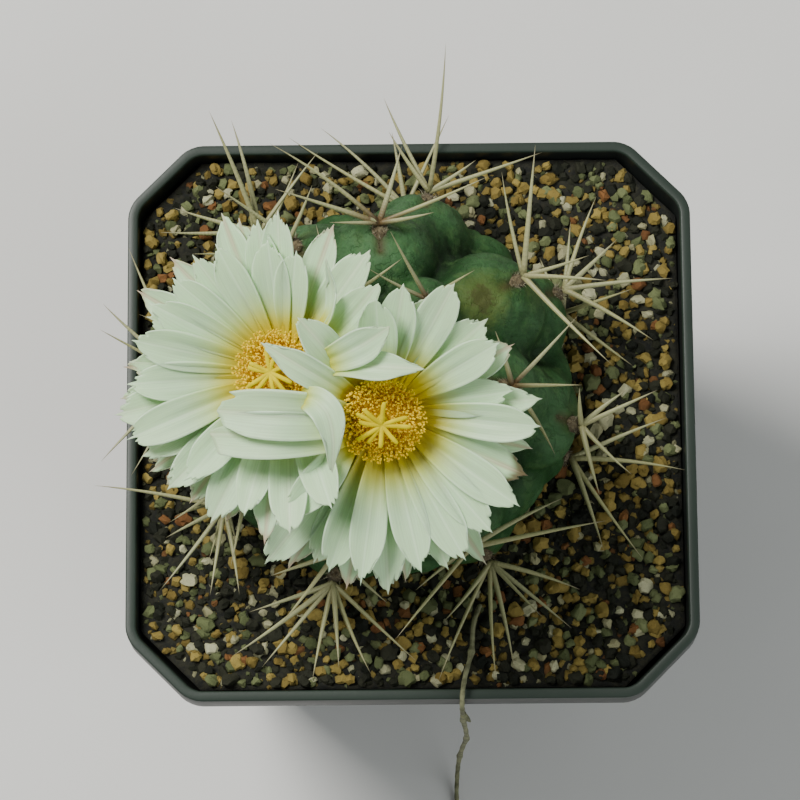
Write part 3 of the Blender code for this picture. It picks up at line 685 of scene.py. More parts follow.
def spine_finish(settings):
    """Ringed dry spines: brown at the root when young, straw along the length, grey-brown at the tip."""
    finish = Finish("ringed spines", settings.straw, 0.5)
    along = finish.parts(finish.on_map("spine"))[1]
    tone, youth, _ = finish.parts(finish.on_map("tone"))
    streak = finish.clouds(finish.on_map("spine", (3.0, 9.0, 1.0)), 2.0, 3.0)
    finish.tint(tone, (0.29, 0.305, 0.17), 0.6)
    finish.tint(finish.eased(streak, 0.4, 0.7), (0.47, 0.45, 0.25), 0.3)
    finish.tint(finish.eased(along, 0.72, 1.0), settings.tip)
    base = finish.times(finish.eased(along, 0.4, 0.0), finish.maths("ADD", youth, 0.2, True))
    finish.tint(base, (0.11, 0.065, 0.026))
    rings = finish.maths("SINE", finish.times(along, 170.0))
    return finish.done(finish.maths("ADD", rings, finish.times(streak, 2.0)), 0.25, 0.05)


def wool_finish(name, first, second):
    """Matted plant wool."""
    finish = Finish(name, first, 0.95)
    place = finish.on_object()
    finish.tint(finish.eased(finish.clouds(place, 1.4, 3.0), 0.35, 0.65), second)
    finish.set("Sheen Weight", 0.1)
    return finish.done(finish.clouds(place, 5.0, 3.0), 0.8, 0.15)


def petal_finish(settings):
    """Silky white petals: golden at the throat, veined lengthwise, with pink stripes on the outer ones and
    painted highlights along the midribs and the edges.
    """
    finish = Finish("silky petals", settings.white, 0.42, 0.3)
    across, along, _ = finish.parts(finish.on_map("petal"))
    tone, pink, _ = finish.parts(finish.on_map("tone"))
    from_rib = finish.from_middle(across)
    shift = finish.add("ShaderNodeCombineXYZ", {0: finish.times(tone, 40.0)}).outputs[0]
    lengthwise = finish.on_map("petal", (26.0, 1.1, 1.0))
    place = finish.add("ShaderNodeVectorMath", {0: lengthwise, 1: shift}, operation="ADD").outputs[0]
    veins = finish.clouds(place, 1.0, 4.0, 0.65)
    finish.tint(finish.eased(veins, 0.36, 0.66), [c * 0.85 for c in settings.white])
    finish.tint(tone, (0.48, 0.71, 0.43), 0.25)
    # Painted highlight: a lighter line along each petal's midrib.
    finish.tint(finish.eased(from_rib, 0.05, 0.0), (0.66, 0.88, 0.58), 0.6)
    # Painted highlight: the petals' edges are painted lighter.
    finish.tint(finish.eased(from_rib, 0.44, 0.5, 0.0, 0.5), (0.66, 0.88, 0.60))
    finish.tint(finish.eased(along, 0.62, 0.20), (0.58, 0.68, 0.12))
    finish.tint(finish.eased(along, 0.44, 0.14), settings.throat)
    striped = finish.maths("MINIMUM", pink, 1.0)
    stripe = finish.times(finish.eased(from_rib, 0.14, 0.02), finish.eased(along, 0.35, 0.9), striped)
    finish.tint(finish.times(stripe, finish.eased(veins, 0.2, 0.6, 0.4, 1.0)), settings.stripe, 0.5)
    finish.tint(finish.times(finish.eased(along, 0.93, 1.0), striped, tone), settings.stripe, 0.5)
    withered = finish.times(finish.eased(pink, 1.5, 2.0), finish.eased(along, 0.86, 0.97))
    finish.tint(withered, (0.070, 0.045, 0.016), 0.9)
    finish.lit_through(0.35, (1.0, 1.0, 0.75), 1.6)
    return finish.done(veins, 0.35, 0.18)


def plain_finish(name, first, second, roughness, scale=0.8, depth=0.08, specular=0.5):
    """A finish of two tones in soft patches, such as anthers, stigmas, fine grit or a dry stem."""
    finish = Finish(name, first, roughness, specular)
    place = finish.on_object()
    finish.tint(finish.eased(finish.clouds(place, scale, 4.0), 0.38, 0.62), second)
    return finish.done(finish.clouds(place, scale * 3, 3.0), 0.5, depth)


# The pot.

def cut_corners():
    """Cuts the corners of the base square, then rounds the eight points that are left."""
    for size, steps in ((POT_CUT, 1), (CORNER_ROUND, 4)):
        bpy.ops.mesh.select_all(action="SELECT")
        bpy.ops.mesh.bevel(offset=size * BASE_HALF / POT_HALF * MM, affect="VERTICES", segments=steps)


def lift_face(rise, before, after):
    """Extrudes the selected top face by a rise and scales it from one half width to another."""
    bpy.ops.mesh.extrude_region_move(TRANSFORM_OT_translate={"value": (0, 0, rise * MM)})
    share = after / before
    bpy.ops.transform.resize(value=(share, share, 1.0), center_override=(0, 0, 0))


def make_pot_shell():
    """The pot's shell: a plate with cut corners, drawn up into walls and a lip, then hollowed."""
    pot = started("plane", size=2 * BASE_HALF * MM, location=(0, 0, 0))
    cut_corners()
    bpy.ops.mesh.select_all(action="SELECT")
    lip_foot = POT_HEIGHT - LIP_DEPTH
    neck = POT_HALF - LIP_STEP
    lift_face(lip_foot, BASE_HALF, neck)
    lift_face(0.0, neck, POT_HALF)
    lift_face(LIP_DEPTH, POT_HALF, POT_HALF)
    bpy.ops.mesh.inset(thickness=RIM_WIDTH * MM)
    floor_half = BASE_HALF + (neck - BASE_HALF) * FLOOR / lip_foot
    lift_face(-LIP_DEPTH, POT_HALF - RIM_WIDTH, neck - WALL)
    lift_face(FLOOR - lip_foot, neck - WALL, floor_half - WALL)
    outward(pot)
    return pot


def cut_with_active(pot):
    """Cuts the pot with the object that was just added, and removes that."""
    cutter = bpy.context.object
    apply(pot, "BOOLEAN", operation="DIFFERENCE", solver="EXACT", object=cutter)
    bpy.data.objects.remove(cutter, do_unlink=True)


def drill_drains(pot):
    """Cuts the four drain holes and the channels that lead out from them."""
    for k in range(4):
        angle = math.radians(45 + 90 * k)
        reach = Vector((math.cos(angle), math.sin(angle), 0)) * MM
        let_go()
        bpy.ops.mesh.primitive_cylinder_add(
            vertices=32, radius=DRAIN_RADIUS * MM, depth=4 * FLOOR * MM, location=reach * DRAIN_PLACE)
        cut_with_active(pot)
        bpy.ops.mesh.primitive_cube_add(
            size=MM, location=reach * (DRAIN_PLACE + BASE_HALF / 2), rotation=(0, 0, angle),
            scale=(BASE_HALF, CHANNEL_WIDTH, 2 * CHANNEL_DEPTH))
        cut_with_active(pot)


def make_pot(settings):
    """The moulded pot with softened edges."""
    pot = make_pot_shell()
    turn = math.radians(ROUNDED_ANGLE)
    apply(pot, "BEVEL", width=EDGE_ROUND * MM, segments=3, limit_method="ANGLE", angle_limit=turn)
    drill_drains(pot)
    named(pot, "moulded-pot", plastic_finish(settings))
    chosen(pot)
    bpy.ops.object.shade_smooth_by_angle(angle=math.radians(POT_CREASE))
    return shown(pot, "pot", "pot")


# The grit.

def inside_pot(x, y, reach):
    """Whether a grain of a radius fits inside the pot's walls at this place."""
    limit = BED_HALF - reach
    cut = 2 * BED_HALF - BED_CUT - reach * math.sqrt(2)
    return abs(x) < limit and abs(y) < limit and abs(x) + abs(y) < cut


def grain_kinds(rounded, kept):
    """A few pebble shapes, each from a small sphere that is knocked about, flattened and thinned."""
    kinds = []
    for k in range(PEBBLES):
        pebble = started("ico_sphere", subdivisions=2, radius=1.0)
        bpy.ops.transform.vertex_random(offset=0.22, uniform=0.6, normal=0.4, seed=k + 3)
        if rounded:
            bpy.ops.mesh.subdivide(number_cuts=1, smoothness=0.7, fractal=0.6, seed=k)
        bpy.ops.transform.resize(value=(1.0, 0.72 + 0.05 * k, 0.62 + 0.04 * (k % 3)))
        apply(pebble, "DECIMATE", decimate_type="COLLAPSE", ratio=kept)
        kinds.append(take(pebble))
    return kinds


def grain_copy(kind, middle, radius, draw):
    """One grain: a pebble turned, sized and laid in its place."""
    turn = Matrix.Rotation(draw.uniform(0, math.tau), 3, "Z")
    for axis in "XY":
        turn = turn @ Matrix.Rotation(stray(draw, 0.9), 3, axis)
    points = kind[0] @ np.array(turn).T * radius + np.array(middle)
    return points, kind[1], {"tone": np.full((len(points), 2), draw.random())}


def lay_grains(settings):
    """Every grain, sorted by colour, clear of the cactus and of the pot."""
    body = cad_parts["cactus-body"].data
    corners = [v.co / MM for v in body.vertices]
    tree = BVHTree.FromPolygons(corners, [tuple(p.vertices) for p in body.polygons])
    draw = random.Random(settings.seed)
    names, weights = list(GRAIN_SHARES), list(GRAIN_SHARES.values())
    sorted_grains = {name: [] for name in names}
    for pitch, small, large, lift, filled, rounded, kept in GRAIN_LAYERS:
        kinds = grain_kinds(rounded, kept)
        count = int(BED_HALF / pitch) + 1
        for i in range(-count, count + 1):
            for j in range(-count, count + 1):
                x = (i + 0.5 * (j % 2) + stray(draw, GRAIN_STRAY)) * pitch
                y = (j + stray(draw, GRAIN_STRAY)) * pitch
                radius = small + (large - small) * draw.random() ** 1.6
                if draw.random() > filled or not inside_pot(x, y, radius * 0.8):
                    continue
                middle = Vector((x, y, GRIT_TOP + lift + stray(draw, GRAIN_SHIFT)))
                near, normal, _, _ = tree.find_nearest(middle)
                if (middle - near).dot(normal) < radius * 0.5:
                    continue
                colour = draw.choices(names, weights)[0]
                sorted_grains[colour].append(grain_copy(draw.choice(kinds), middle, radius, draw))
    return sorted_grains


def make_bed():
    """The fine grit under the grains: a slab with cut corners and an uneven top, near-black as painted shade
    in the gaps between the grains.
    """
    bed = started("grid", x_subdivisions=BED_CELLS, y_subdivisions=BED_CELLS, size=2 * BED_HALF * MM)
    bpy.ops.transform.translate(value=(0, 0, GRIT_TOP * MM))
    corner = (BED_HALF - BED_CUT / 2) * MM
    for sx, sy in ((1, 1), (-1, 1), (-1, -1), (1, -1)):
        bpy.ops.mesh.select_all(action="SELECT")
        bpy.ops.mesh.bisect(plane_co=(sx * corner, sy * corner, 0), plane_no=(sx, sy, 0), clear_outer=True)
    bpy.ops.mesh.select_all(action="SELECT")
    lift_face(FLOOR + BED_CLEARANCE - GRIT_TOP, BED_HALF, BASE_HALF - WALL - BED_CLEARANCE)
    outward(bed)
    for point in bed.data.vertices:
        if point.co.z > (GRIT_TOP - 1) * MM:
            point.co.z += noise.noise(point.co / MM * 0.4) * BED_ROUGHNESS * MM
    bed.data.shade_smooth()
    # The fine grit's near-black tones are painted shade: only the gaps between the grains show it.
    finish = plain_finish("fine grit", (0.005, 0.006, 0.004), (0.016, 0.016, 0.008), 0.95, 0.9, 0.4)
    named(bed, "fine-grit", finish)
    return shown(bed, "grit", "grit-bed")


def make_grit(settings):
    """The bed and the grains of each colour on it."""
    make_bed()
    for colour, copies in lay_grains(settings).items():
        finish = grain_finish(colour + " grains", *GRAIN_TONES[colour])
        piece = joined(colour + "-grains", copies, finish, ("tone",), smooth=False)
        bpy.ops.object.shade_smooth_by_angle(angle=math.radians(GRAIN_CREASE))
        shown(piece, "grit")


# Directions.

def between(first, second, angle):
    """The direction at an angle from one axis towards another."""
    return first * math.cos(angle) + second * math.sin(angle)


def axes_round(direction):
    """Two axes at right angles to a direction and to each other."""
    side = direction.orthogonal().normalized()
    return side, direction.cross(side)


# The cactus body.

def aim(bearing, polar):
    """The direction at a bearing and an angle down from the crown."""
    b, p = math.radians(bearing), math.radians(polar)
    return Vector((math.sin(p) * math.cos(b), math.sin(p) * math.sin(b), math.cos(p)))


def tubercles():
    """Every tubercle as (rib, tier, bearing, polar angle, radius in degrees, height share)."""
    rows = []
    for rib, line in enumerate(RIBS):
        for tier, (bearing, polar) in enumerate(line):
            grown = min(1.0, (polar + YOUNG_START) / (GROWN_POLAR + YOUNG_START))
            rows.append((rib, tier, bearing, polar, TUBERCLE_RADIUS * grown ** 0.7, grown ** 0.6))
    return rows


def bridges(rows):
    """The low saddles that join each tubercle to the next one down its rib, as domes."""
    saddles = []
    for above, below in zip(rows, rows[1:]):
        if above[0] == below[0]:
            middle = (aim(above[2], above[3]) + aim(below[2], below[3])).normalized()
            bearing = math.degrees(math.atan2(middle.y, middle.x))
            polar = math.degrees(math.acos(middle.z)) + TUBERCLE_CHIN
            saddles.append((bearing, polar, above[4] * BRIDGE_WIDTH, above[5] * BRIDGE_HEIGHT))
    return saddles


def girdle(rows):
    """The domes that fill the body out between the lowest tubercles of neighbouring ribs."""
    lowest = [row for row, after in zip(rows, rows[1:] + rows[:1]) if row[0] != after[0]]
    domes = []
    for one, other in zip(lowest, lowest[1:] + lowest[:1]):
        middle = aim(one[2], GIRDLE_POLAR) + aim(other[2], GIRDLE_POLAR)
        bearing = math.degrees(math.atan2(middle.y, middle.x))
        domes.append((bearing, GIRDLE_POLAR, GIRDLE_RADIUS, GIRDLE_HEIGHT))
    return domes


def skin_at(towards):
    """For an array of directions: points of the skin, how high they stand, how far they lie in a furrow."""
    rows = tubercles()
    domes = [(b, p + TUBERCLE_CHIN * high, radius, high) for _, _, b, p, radius, high in rows]
    domes += bridges(rows) + girdle(rows)
    centres = np.array([aim(b, p) for b, p, _, _ in domes])
    wide = np.array([dome[2] for dome in domes])
    high = np.array([dome[3] for dome in domes])
    away = np.degrees(np.arccos(np.clip(towards @ centres.T, -1, 1))) / wide
    each = high * (1 - away ** TUBERCLE_ROUND)
    blended = np.log(np.exp(VALLEY_SHARPNESS * np.maximum(each, -2)).sum(axis=1)) / VALLEY_SHARPNESS
    best = np.maximum(blended, -GROOVE_DEPTH)
    polar = np.degrees(np.arccos(np.clip(towards[:, 2], -1, 1)))
    fade = np.clip((SOIL_POLAR - polar) / (SOIL_POLAR - FADE_POLAR), 0, 1)
    furrow = furrow_at(towards, rows)
    out = TUBERCLE_HEIGHT * best * fade - FURROW_DEPTH * furrow
    up = np.where(towards[:, 2] > 0, BODY_UP, BODY_DOWN)
    reach = np.stack([BODY_OUT + out, BODY_OUT + out, up + out], axis=1)
    return np.array(BODY_MIDDLE) + towards * reach, best * fade, furrow


def furrow_at(towards, rows):
    """How far each direction lies in the short furrow that runs from an areole towards the crown."""
    deepest = np.zeros(len(towards))
    for _, _, bearing, polar, _, high in rows:
        areole = aim(bearing, polar)
        if polar < 90:
            upward = (aim(bearing, 0) - areole * areole.z).normalized()
        else:
            upward = aim(bearing, polar - 90)
        side = areole.cross(upward)
        along = towards @ np.array(upward) * BODY_OUT
        across = towards @ np.array(side) * BODY_OUT
        front = (towards @ np.array(areole)) > 0.8
        run = np.clip((FURROW_LENGTH * high - along) / 1.5, 0, 1) * np.clip((along + 0.5) / 1.0, 0, 1)
        deepest = np.maximum(deepest, np.exp(-(across / FURROW_WIDTH) ** 2) * run * front)
    return deepest


def skin_ripple(place):
    """The unevenness of the skin: broad swellings, wrinkles and fine pits, in millimetres."""
    closeness, depth = WRINKLES
    wrinkle = 1 - abs(noise.noise(place * closeness + Vector((7, 3, 1))))
    ripple = (wrinkle ** 6 - 0.4) * depth
    for closeness, depth in (SWELLINGS, PITS):
        ripple += noise.noise(place * closeness) * depth
    return ripple


def make_body(settings):
    """The tubercled body, from a sphere whose points are carried out to the skin, and its root stock."""
    let_go()
    bpy.ops.mesh.primitive_uv_sphere_add(segments=BODY_SEGMENTS, ring_count=BODY_RINGS, radius=1.0)
    body = bpy.context.object
    towards = np.array([v.co for v in body.data.vertices])
    towards /= np.linalg.norm(towards, axis=1)[:, None]
    points, high, furrow = skin_at(towards)
    ripple = np.array([skin_ripple(Vector(p)) for p in points])
    points += towards * ripple[:, None]
    layer = body.data.attributes.new("skin", "FLOAT_VECTOR", "POINT")
    layer.data.foreach_set("vector", np.stack([high, furrow, ripple], axis=1).astype(np.float32).ravel())
    body.data.vertices.foreach_set("co", (points * MM).astype(np.float32).ravel())
    bpy.ops.object.mode_set(mode="EDIT")
    height, share = BODY_FOOT
    foot = (BODY_MIDDLE.x * MM, BODY_MIDDLE.y * MM, height * MM)
    bpy.ops.mesh.select_all(action="SELECT")
    bpy.ops.mesh.bisect(plane_co=foot, plane_no=(0, 0, -1), use_fill=True, clear_outer=True)
    radius = BODY_OUT * share
    for low, wide in ROOT_STEPS:
        share = wide / radius
        bpy.ops.mesh.extrude_region_move(TRANSFORM_OT_translate={"value": (0, 0, (low - height) * MM)})
        bpy.ops.transform.resize(value=(share, share, 1.0), center_override=(*foot[:2], low * MM))
        height, radius = low, wide
    outward(body)
    body.data.shade_smooth()
    named(body, "tubercled-body", skin_finish(settings))
    return shown(body, "skin", "cactus-body")


# Spines and wool.

def needles(node):
    """Each needle of a cluster as (root, middle, tip) in millimetres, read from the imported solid."""
    shape = bmesh.new()
    shape.from_mesh(node.data)
    bmesh.ops.remove_doubles(shape, verts=shape.verts, dist=0.00001)
    rows = []
    for tip in shape.verts:
        near = [edge.other_vert(tip) for edge in tip.link_edges]
        if len(near) != 3 or max((v.co - tip.co).length for v in near) < NEEDLE_LEAST * MM:
            continue
        middle = sum((v.co for v in near), Vector()) / 3 / MM
        end = tip.co / MM
        bow = Vector((0, 0, SPINE_BOW * 2 * (end - middle).length))
        rows.append(((middle - bow) * 2 - end, middle, end))
    shape.free()
    return rows


def spine_kind():
    """A spine of length and radius 1: a slim eight-sided rod with rings along it."""
    return rod_kind(9, vertices=8, end_fill_type="TRIFAN")


def spine_copy(kind, root, middle, tip, radius, tone, youth):
    """A spine along its bend: swollen at the root, then tapering to a sharp tip."""
    control = middle * 2 - (root + tip) / 2
    points, maps = [], []
    side, across = axes_round((tip - root).normalized())
    for x, y, z in kind[0]:
        centre = root.lerp(control, z).lerp(control.lerp(tip, z), z)
        wide = radius * (1 - 0.98 * z ** 1.8) * (1 + 0.18 * math.exp(-z * 26))
        points.append(centre + (side * x * 1.1 + across * y * 0.9) * wide)
        maps.append((math.atan2(y, x) / math.tau + 0.5, z))
    tones = np.tile((tone, youth), (len(points), 1))
    return np.array(points), kind[1], {"spine": np.array(maps), "tone": tones}


def make_spines(settings):
    """Every rib's spines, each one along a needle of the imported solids."""
    kind = spine_kind()
    finish = spine_finish(settings)
    draw = random.Random(SPINE_SEED)
    thick = settings.thickness / MM
    copies = {rib: [] for rib in range(len(RIBS))}
    nodes = {rib: [] for rib in range(len(RIBS))}
    for rib, tier, _, _, _, high in tubercles():
        name = f"spine-cluster-{rib + 1}-{tier + 1}"
        nodes[rib].append(name)
        for root, middle, tip in needles(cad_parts[name]):
            radius = thick * (YOUNG_SHARE + (1 - YOUNG_SHARE) * high) * (1 + stray(draw, SPINE_SPREAD))
            youth = 0.8 if tier == 0 else 0.0
            length = (tip - root).length
            middle += (tip - root).orthogonal().normalized() * stray(draw, 0.03) * length
            copies[rib].append(spine_copy(kind, root, middle, tip, radius, draw.random(), youth))
    for rib, spines in copies.items():
        shown(joined(f"rib-{rib + 1}-spines", spines, finish, ("spine", "tone")), "spines", *nodes[rib])


def areole_frame(bearing, polar):
    """An areole's seat on the skin, with the directions up the body, aside and away from it."""
    towards = np.array([aim(bearing, polar), aim(bearing, polar - 2), aim(bearing + 2, polar)])
    seat, above, beside = (Vector(p) for p in skin_at(towards)[0])
    upward = (above - seat).normalized()
    away = upward.cross(seat - beside).normalized()
    if away.dot(seat - BODY_MIDDLE) < 0:
        away.negate()
    upward = (upward - away * upward.dot(away)).normalized()
    return seat, upward, away.cross(upward), away


def hair_kind():
    """A hair of radius and length 1: a three-sided sliver that can bend."""
    return rod_kind(2, "cone", vertices=3)


def hair_copy(kind, root, direction, length, radius, curl):
    """A hair from its root, curling over."""
    side, across = axes_round(direction)
    points = []
    for x, y, z in kind[0]:
        centre = root + direction * length * z + curl * length * z * z
        points.append(centre + (side * x + across * y) * radius)
    return np.array(points), kind[1], {}


def cushion_copy(seat, upward, side, away, size):
    """The felt cushion of an areole: a low uneven dome, drawn out towards the crown."""
    let_go()
    bpy.ops.mesh.primitive_uv_sphere_add(segments=14, ring_count=8, radius=1.0)
    points, faces = take(bpy.context.object)
    half = np.array((CUSHION_LENGTH / 2, CUSHION_WIDTH / 2, CUSHION_HEIGHT * 0.8)) * size
    uneven = np.array([1 + 0.16 * noise.noise(Vector(p) * 2.1 + seat) for p in points])
    points = (points * half * uneven[:, None]) @ np.array((upward, side, away))
    return points + np.array(seat + upward * 0.4 * size), faces, {}


def areole_hair(hair, seat, upward, side, away, size, draw):
    """One hair of an areole's cushion, leaning outwards from its middle."""
    angle, far = draw.uniform(0, math.tau), math.sqrt(draw.random())
    flat = upward * math.cos(angle) * CUSHION_LENGTH * 0.46 * far
    flat += side * math.sin(angle) * CUSHION_WIDTH * 0.42 * far
    root = seat + flat * size * 0.9 + away * 0.5 * size
    direction = (away + flat * 0.25 + Vector([stray(draw, 0.3) for _ in range(3)])).normalized()
    curl = flat.normalized() * draw.uniform(0.1, 0.6) - away * draw.uniform(0.1, 0.5)
    length = CUSHION_HEIGHT * size * draw.uniform(0.5, 1.0)
    return hair_copy(hair, root, direction, length, HAIR_RADIUS, curl)


def furrow_hair(hair, seat, upward, side, away, high, draw):
    """One hair of the wool in an areole's furrow."""
    run = draw.uniform(0.1, FURROW_LENGTH * high)
    root = seat + upward * run + side * stray(draw, 0.6) - away * 0.3
    direction = (away + side * stray(draw, 0.6)).normalized()
    length = draw.uniform(*FURROW_HAIR_LENGTHS)
    return hair_copy(hair, root, direction, length, HAIR_RADIUS, upward * stray(draw, 0.4))


def crown_hair(hair, crown, draw):
    """One hair of the tuft on the crown."""
    angle, far = draw.uniform(0, math.tau), TUFT_RADIUS * math.sqrt(draw.random())
    root = crown + Vector((far * math.cos(angle), far * math.sin(angle), -0.03 * far * far - 0.3))
    direction = Vector((stray(draw, 0.5), stray(draw, 0.5), 1)).normalized()
    curl = Vector((stray(draw, 0.5), stray(draw, 0.5), -0.3))
    return hair_copy(hair, root, direction, draw.uniform(*CROWN_HAIR_LENGTHS), CROWN_HAIR_RADIUS, curl)


def make_wool():
    """Wool on every areole and along its furrow, and a tuft on the crown between the flowers."""
    hair = hair_kind()
    draw = random.Random(WOOL_SEED)
    brown, grey = [], []
    for _, _, bearing, polar, _, high in tubercles():
        place = areole_frame(bearing, polar)
        size = 0.55 + 0.45 * high
        brown.append(cushion_copy(*place, size * 0.8))
        for _ in range(CUSHION_HAIRS):
            tuft = areole_hair(hair, *place, size, draw)
            (grey if draw.random() < GREY_SHARE else brown).append(tuft)
        brown += [furrow_hair(hair, *place, high, draw) for _ in range(FURROW_HAIRS)]
    crown = Vector(skin_at(np.array([aim(0, 0)]))[0][0])
    grey += [crown_hair(hair, crown, draw) for _ in range(CROWN_HAIRS)]
    brown_wool = wool_finish("brown areole wool", (0.075, 0.055, 0.026), (0.15, 0.12, 0.065))
    grey_wool = wool_finish("grey areole wool", (0.27, 0.25, 0.155), (0.44, 0.42, 0.29))
    shown(joined("brown-wool", brown, brown_wool, smooth=False), "spines")
    shown(joined("grey-wool", grey, grey_wool, smooth=False), "spines")


# Flowers.

def flower_frame(side):
    """The flower's throat and its axes: two across its face and one out of it."""
    left, front = FLOWERS[side]["lean"]
    out = Vector((-math.tan(math.radians(left)), -math.tan(math.radians(front)), 1)).normalized()
    across = (Vector((1, 0, 0)) - out * out.x).normalized()
    return FLOWERS[side]["throat"], across, out.cross(across), out


def on_flower(side, points):
    """Points given along a flower's own axes, carried to its throat."""
    throat, across, up, out = flower_frame(side)
    return points @ np.array((across, up, out)) + np.array(throat)


def petal_share(s, square):
    """The width of a petal along its length, as a share of its widest. Its end is still broad."""
    if s < PETAL_WIDEST:
        return PETAL_ROOT + (1 - PETAL_ROOT) * math.sin(s / PETAL_WIDEST * math.pi / 2) ** 1.3
    return 1 - 0.38 / square * ((s - PETAL_WIDEST) / (1 - PETAL_WIDEST)) ** 2.2


def fan_tilt(side, bearing):
    """How much the petals that lie on or under the other flower's are raised or lowered, in degrees."""
    first, last, tilt = FAN_TILTS[side]
    return tilt if first < bearing < last else 0.0


def camera_axes():
    """The photograph's camera: its place in millimetres and its directions right, up and back."""
    tilt, turn, roll = (math.radians(v) for v in (CAMERA_TILT, CAMERA_TURN, CAMERA_ROLL))
    back = Vector((math.sin(turn) * math.sin(tilt), -math.cos(turn) * math.sin(tilt), math.cos(tilt)))
    right = Vector((math.cos(turn), math.sin(turn), 0))
    up = back.cross(right)
    right, up = right * math.cos(roll) + up * math.sin(roll), up * math.cos(roll) - right * math.sin(roll)
    place = Vector((0, 0, POT_HEIGHT)) + back * CAMERA_FAR
    # The pot's middle stands a few pixels off the picture's, so the camera is turned by that much.
    aside, down = (pixel - PICTURE / 2 for pixel in AIM_PIXEL)
    back = (back + right * aside / FOCAL_PIXELS - up * down / FOCAL_PIXELS).normalized()
    right = (right - back * right.dot(back)).normalized()
    return place, right, back.cross(right), back


def seen_at(pixel, foot, normal):
    """The point of a plane, given by a point and its normal, that the camera sees at a pixel."""
    place, right, up, back = camera_axes()
    aside, down = ((value - PICTURE / 2) / FOCAL_PIXELS for value in pixel[:2])
    ray = right * aside - up * down - back
    return place + ray * (foot - place).dot(normal) / ray.dot(normal)


def heading(line, s):
    """The direction of a petal's middle line at a share of its length."""
    return (line(min(s + 0.03, 1.05)) - line(s - 0.03)).normalized()


def open_line(side, whorl, pixel, draw):
    """The middle line of an open petal and its side direction, each a function of its length share."""
    throat, across, up, out = flower_frame(side)
    whorl_rise, _, drop, _ = WHORLS[whorl]
    wobble = stray(draw, 2)
    high = 5.0
    # How high the tip stands and where it is seen depend on each other, so both are found in rounds.
    for _ in range(8):
        flat = seen_at(pixel, throat + out * high, out) - throat
        flat -= out * flat.dot(out)
        bearing = math.degrees(math.atan2(flat.dot(up), flat.dot(across)))
        rise = math.radians(whorl_rise + wobble + fan_tilt(side, bearing))
        length = flat.length / math.cos(rise * 0.35)
        high = (length - CUP_RADIUS) * math.tan(rise) - CUP_LIP - drop
    reach = flat.normalized()
    roll = math.radians(draw.uniform(4, 12))

    def line(s):
        far = CUP_RADIUS - PETAL_SEAT + (length - CUP_RADIUS + PETAL_SEAT) * s
        high = (far - CUP_RADIUS) * math.tan(rise) - CUP_LIP - drop * s * s
        return throat + reach * far * math.cos(rise * 0.35) + out * high

    def side_at(_):
        return between(reach.cross(out), out, roll)

    return line, side_at


def smooth_route(route, share):
    """A point of the smooth curve through the places of a route, at a share of its length."""
    place = min(share, 0.9999) * (len(route) - 1)
    k = int(max(0.0, place))
    t = place - k
    here, after = route[k], route[k + 1]
    before = route[k - 1] if k > 0 else here * 2 - after
    beyond = route[k + 2] if k + 2 < len(route) else after * 2 - here
    bend = here * 2 + (after - before) * t + (before * 2 - here * 5 + after * 4 - beyond) * t * t
    return (bend + (here * 3 - before - after * 3 + beyond) * t ** 3) / 2


def folded_line(edge, places):
    """The middle line of a petal of the crowded side and its side direction, turned on edge by an angle."""
    route = [seen_at(place, Vector((0, 0, place[2])), Vector((0, 0, 1))) for place in places]
    back = camera_axes()[3]
    flat = (route[len(route) // 2] - route[0]).normalized()
    tip = route[-1] + (route[-1] - route[-2]) * 0.12

    def line(s):
        return smooth_route(route, s) if s < 1 else route[-1].lerp(tip, (s - 1) / 0.12)

    def side(s):
        face = (back - flat * 0.9 * (1 - s) ** 3).normalized()
        return between(heading(line, s).cross(face).normalized(), face, math.radians(edge))

    return line, side


def petal_copy(kind, line, side, width, pink, draw):
    """A petal: the sheet drawn along its line, channelled, pleated, waved and toothed at its tip."""
    square = (width / PETAL_WIDTH) ** 2
    count = TEETH if width < BROAD_PETAL else TEETH // 2
    teeth = []
    for _ in range(count + 1):
        notched = draw.random() < 0.25 * square
        teeth.append(draw.uniform(-0.05, -0.02) * square if notched else stray(draw, 0.005))
    teeth[count // 2] = 0.035
    shoulder = draw.uniform(0.06, 0.125) / square
    skew = stray(draw, 0.25)
    wave, phase = draw.uniform(0.1, 0.4), draw.uniform(0, math.tau)
    twist = stray(draw, 0.3)
    points, petal = [], []
    for x, y, _ in kind[0]:
        place = (x + 1) / 2 * count
        nearest = min(count - 1, int(place))
        tooth = teeth[nearest] + (teeth[nearest + 1] - teeth[nearest]) * (place - nearest)
        end = 1 - shoulder * abs(x - skew * (1 - x * x)) ** 1.7
        s = y * (1 - (1 - end) * y) + tooth * max(0.0, (y - 0.84) / 0.16) ** 1.5
        along = heading(line, s)
        across = (side(s) - along * side(s).dot(along)).normalized()
        above = across.cross(along)
        half = width * petal_share(y, square) / 2
        channel = PETAL_CHANNEL * half / PETAL_WIDTH * (0.8 * abs(x) + 0.8 * x * x)
        pleat = 0.09 * math.cos(x * 9 + phase) * math.sin(math.pi * min(1, y * 1.1))
        ruffle = wave * math.sin(6 * y + phase) * x * abs(x) * y + twist * x * y * y
        points.append(line(s) + across * x * half + above * (channel + pleat + ruffle))
        petal.append(((x + 1) / 2, y))
    tones = np.tile((draw.random(), pink), (len(points), 1))
    return np.array(points), kind[1], {"petal": np.array(petal), "tone": tones}


def petal_rows(side):
    """Every petal of a flower as (line, side direction, width, how pink it is, or 2 if withered)."""
    draw = random.Random(side + "-bloom-petals")
    rows = []
    for whorl, tips in PETAL_TIPS[side].items():
        _, wide, _, pink = WHORLS[whorl]
        for pixel in tips:
            width = PETAL_WIDTH * wide * draw.uniform(0.94, 1.06)
            rows.append((*open_line(side, whorl, pixel, draw), width, 2.0 if pixel == WITHERED else pink))
    for wide, edge, places in FOLDED[side]:
        rows.append((*folded_line(edge, places), wide, 0.3))
    return rows


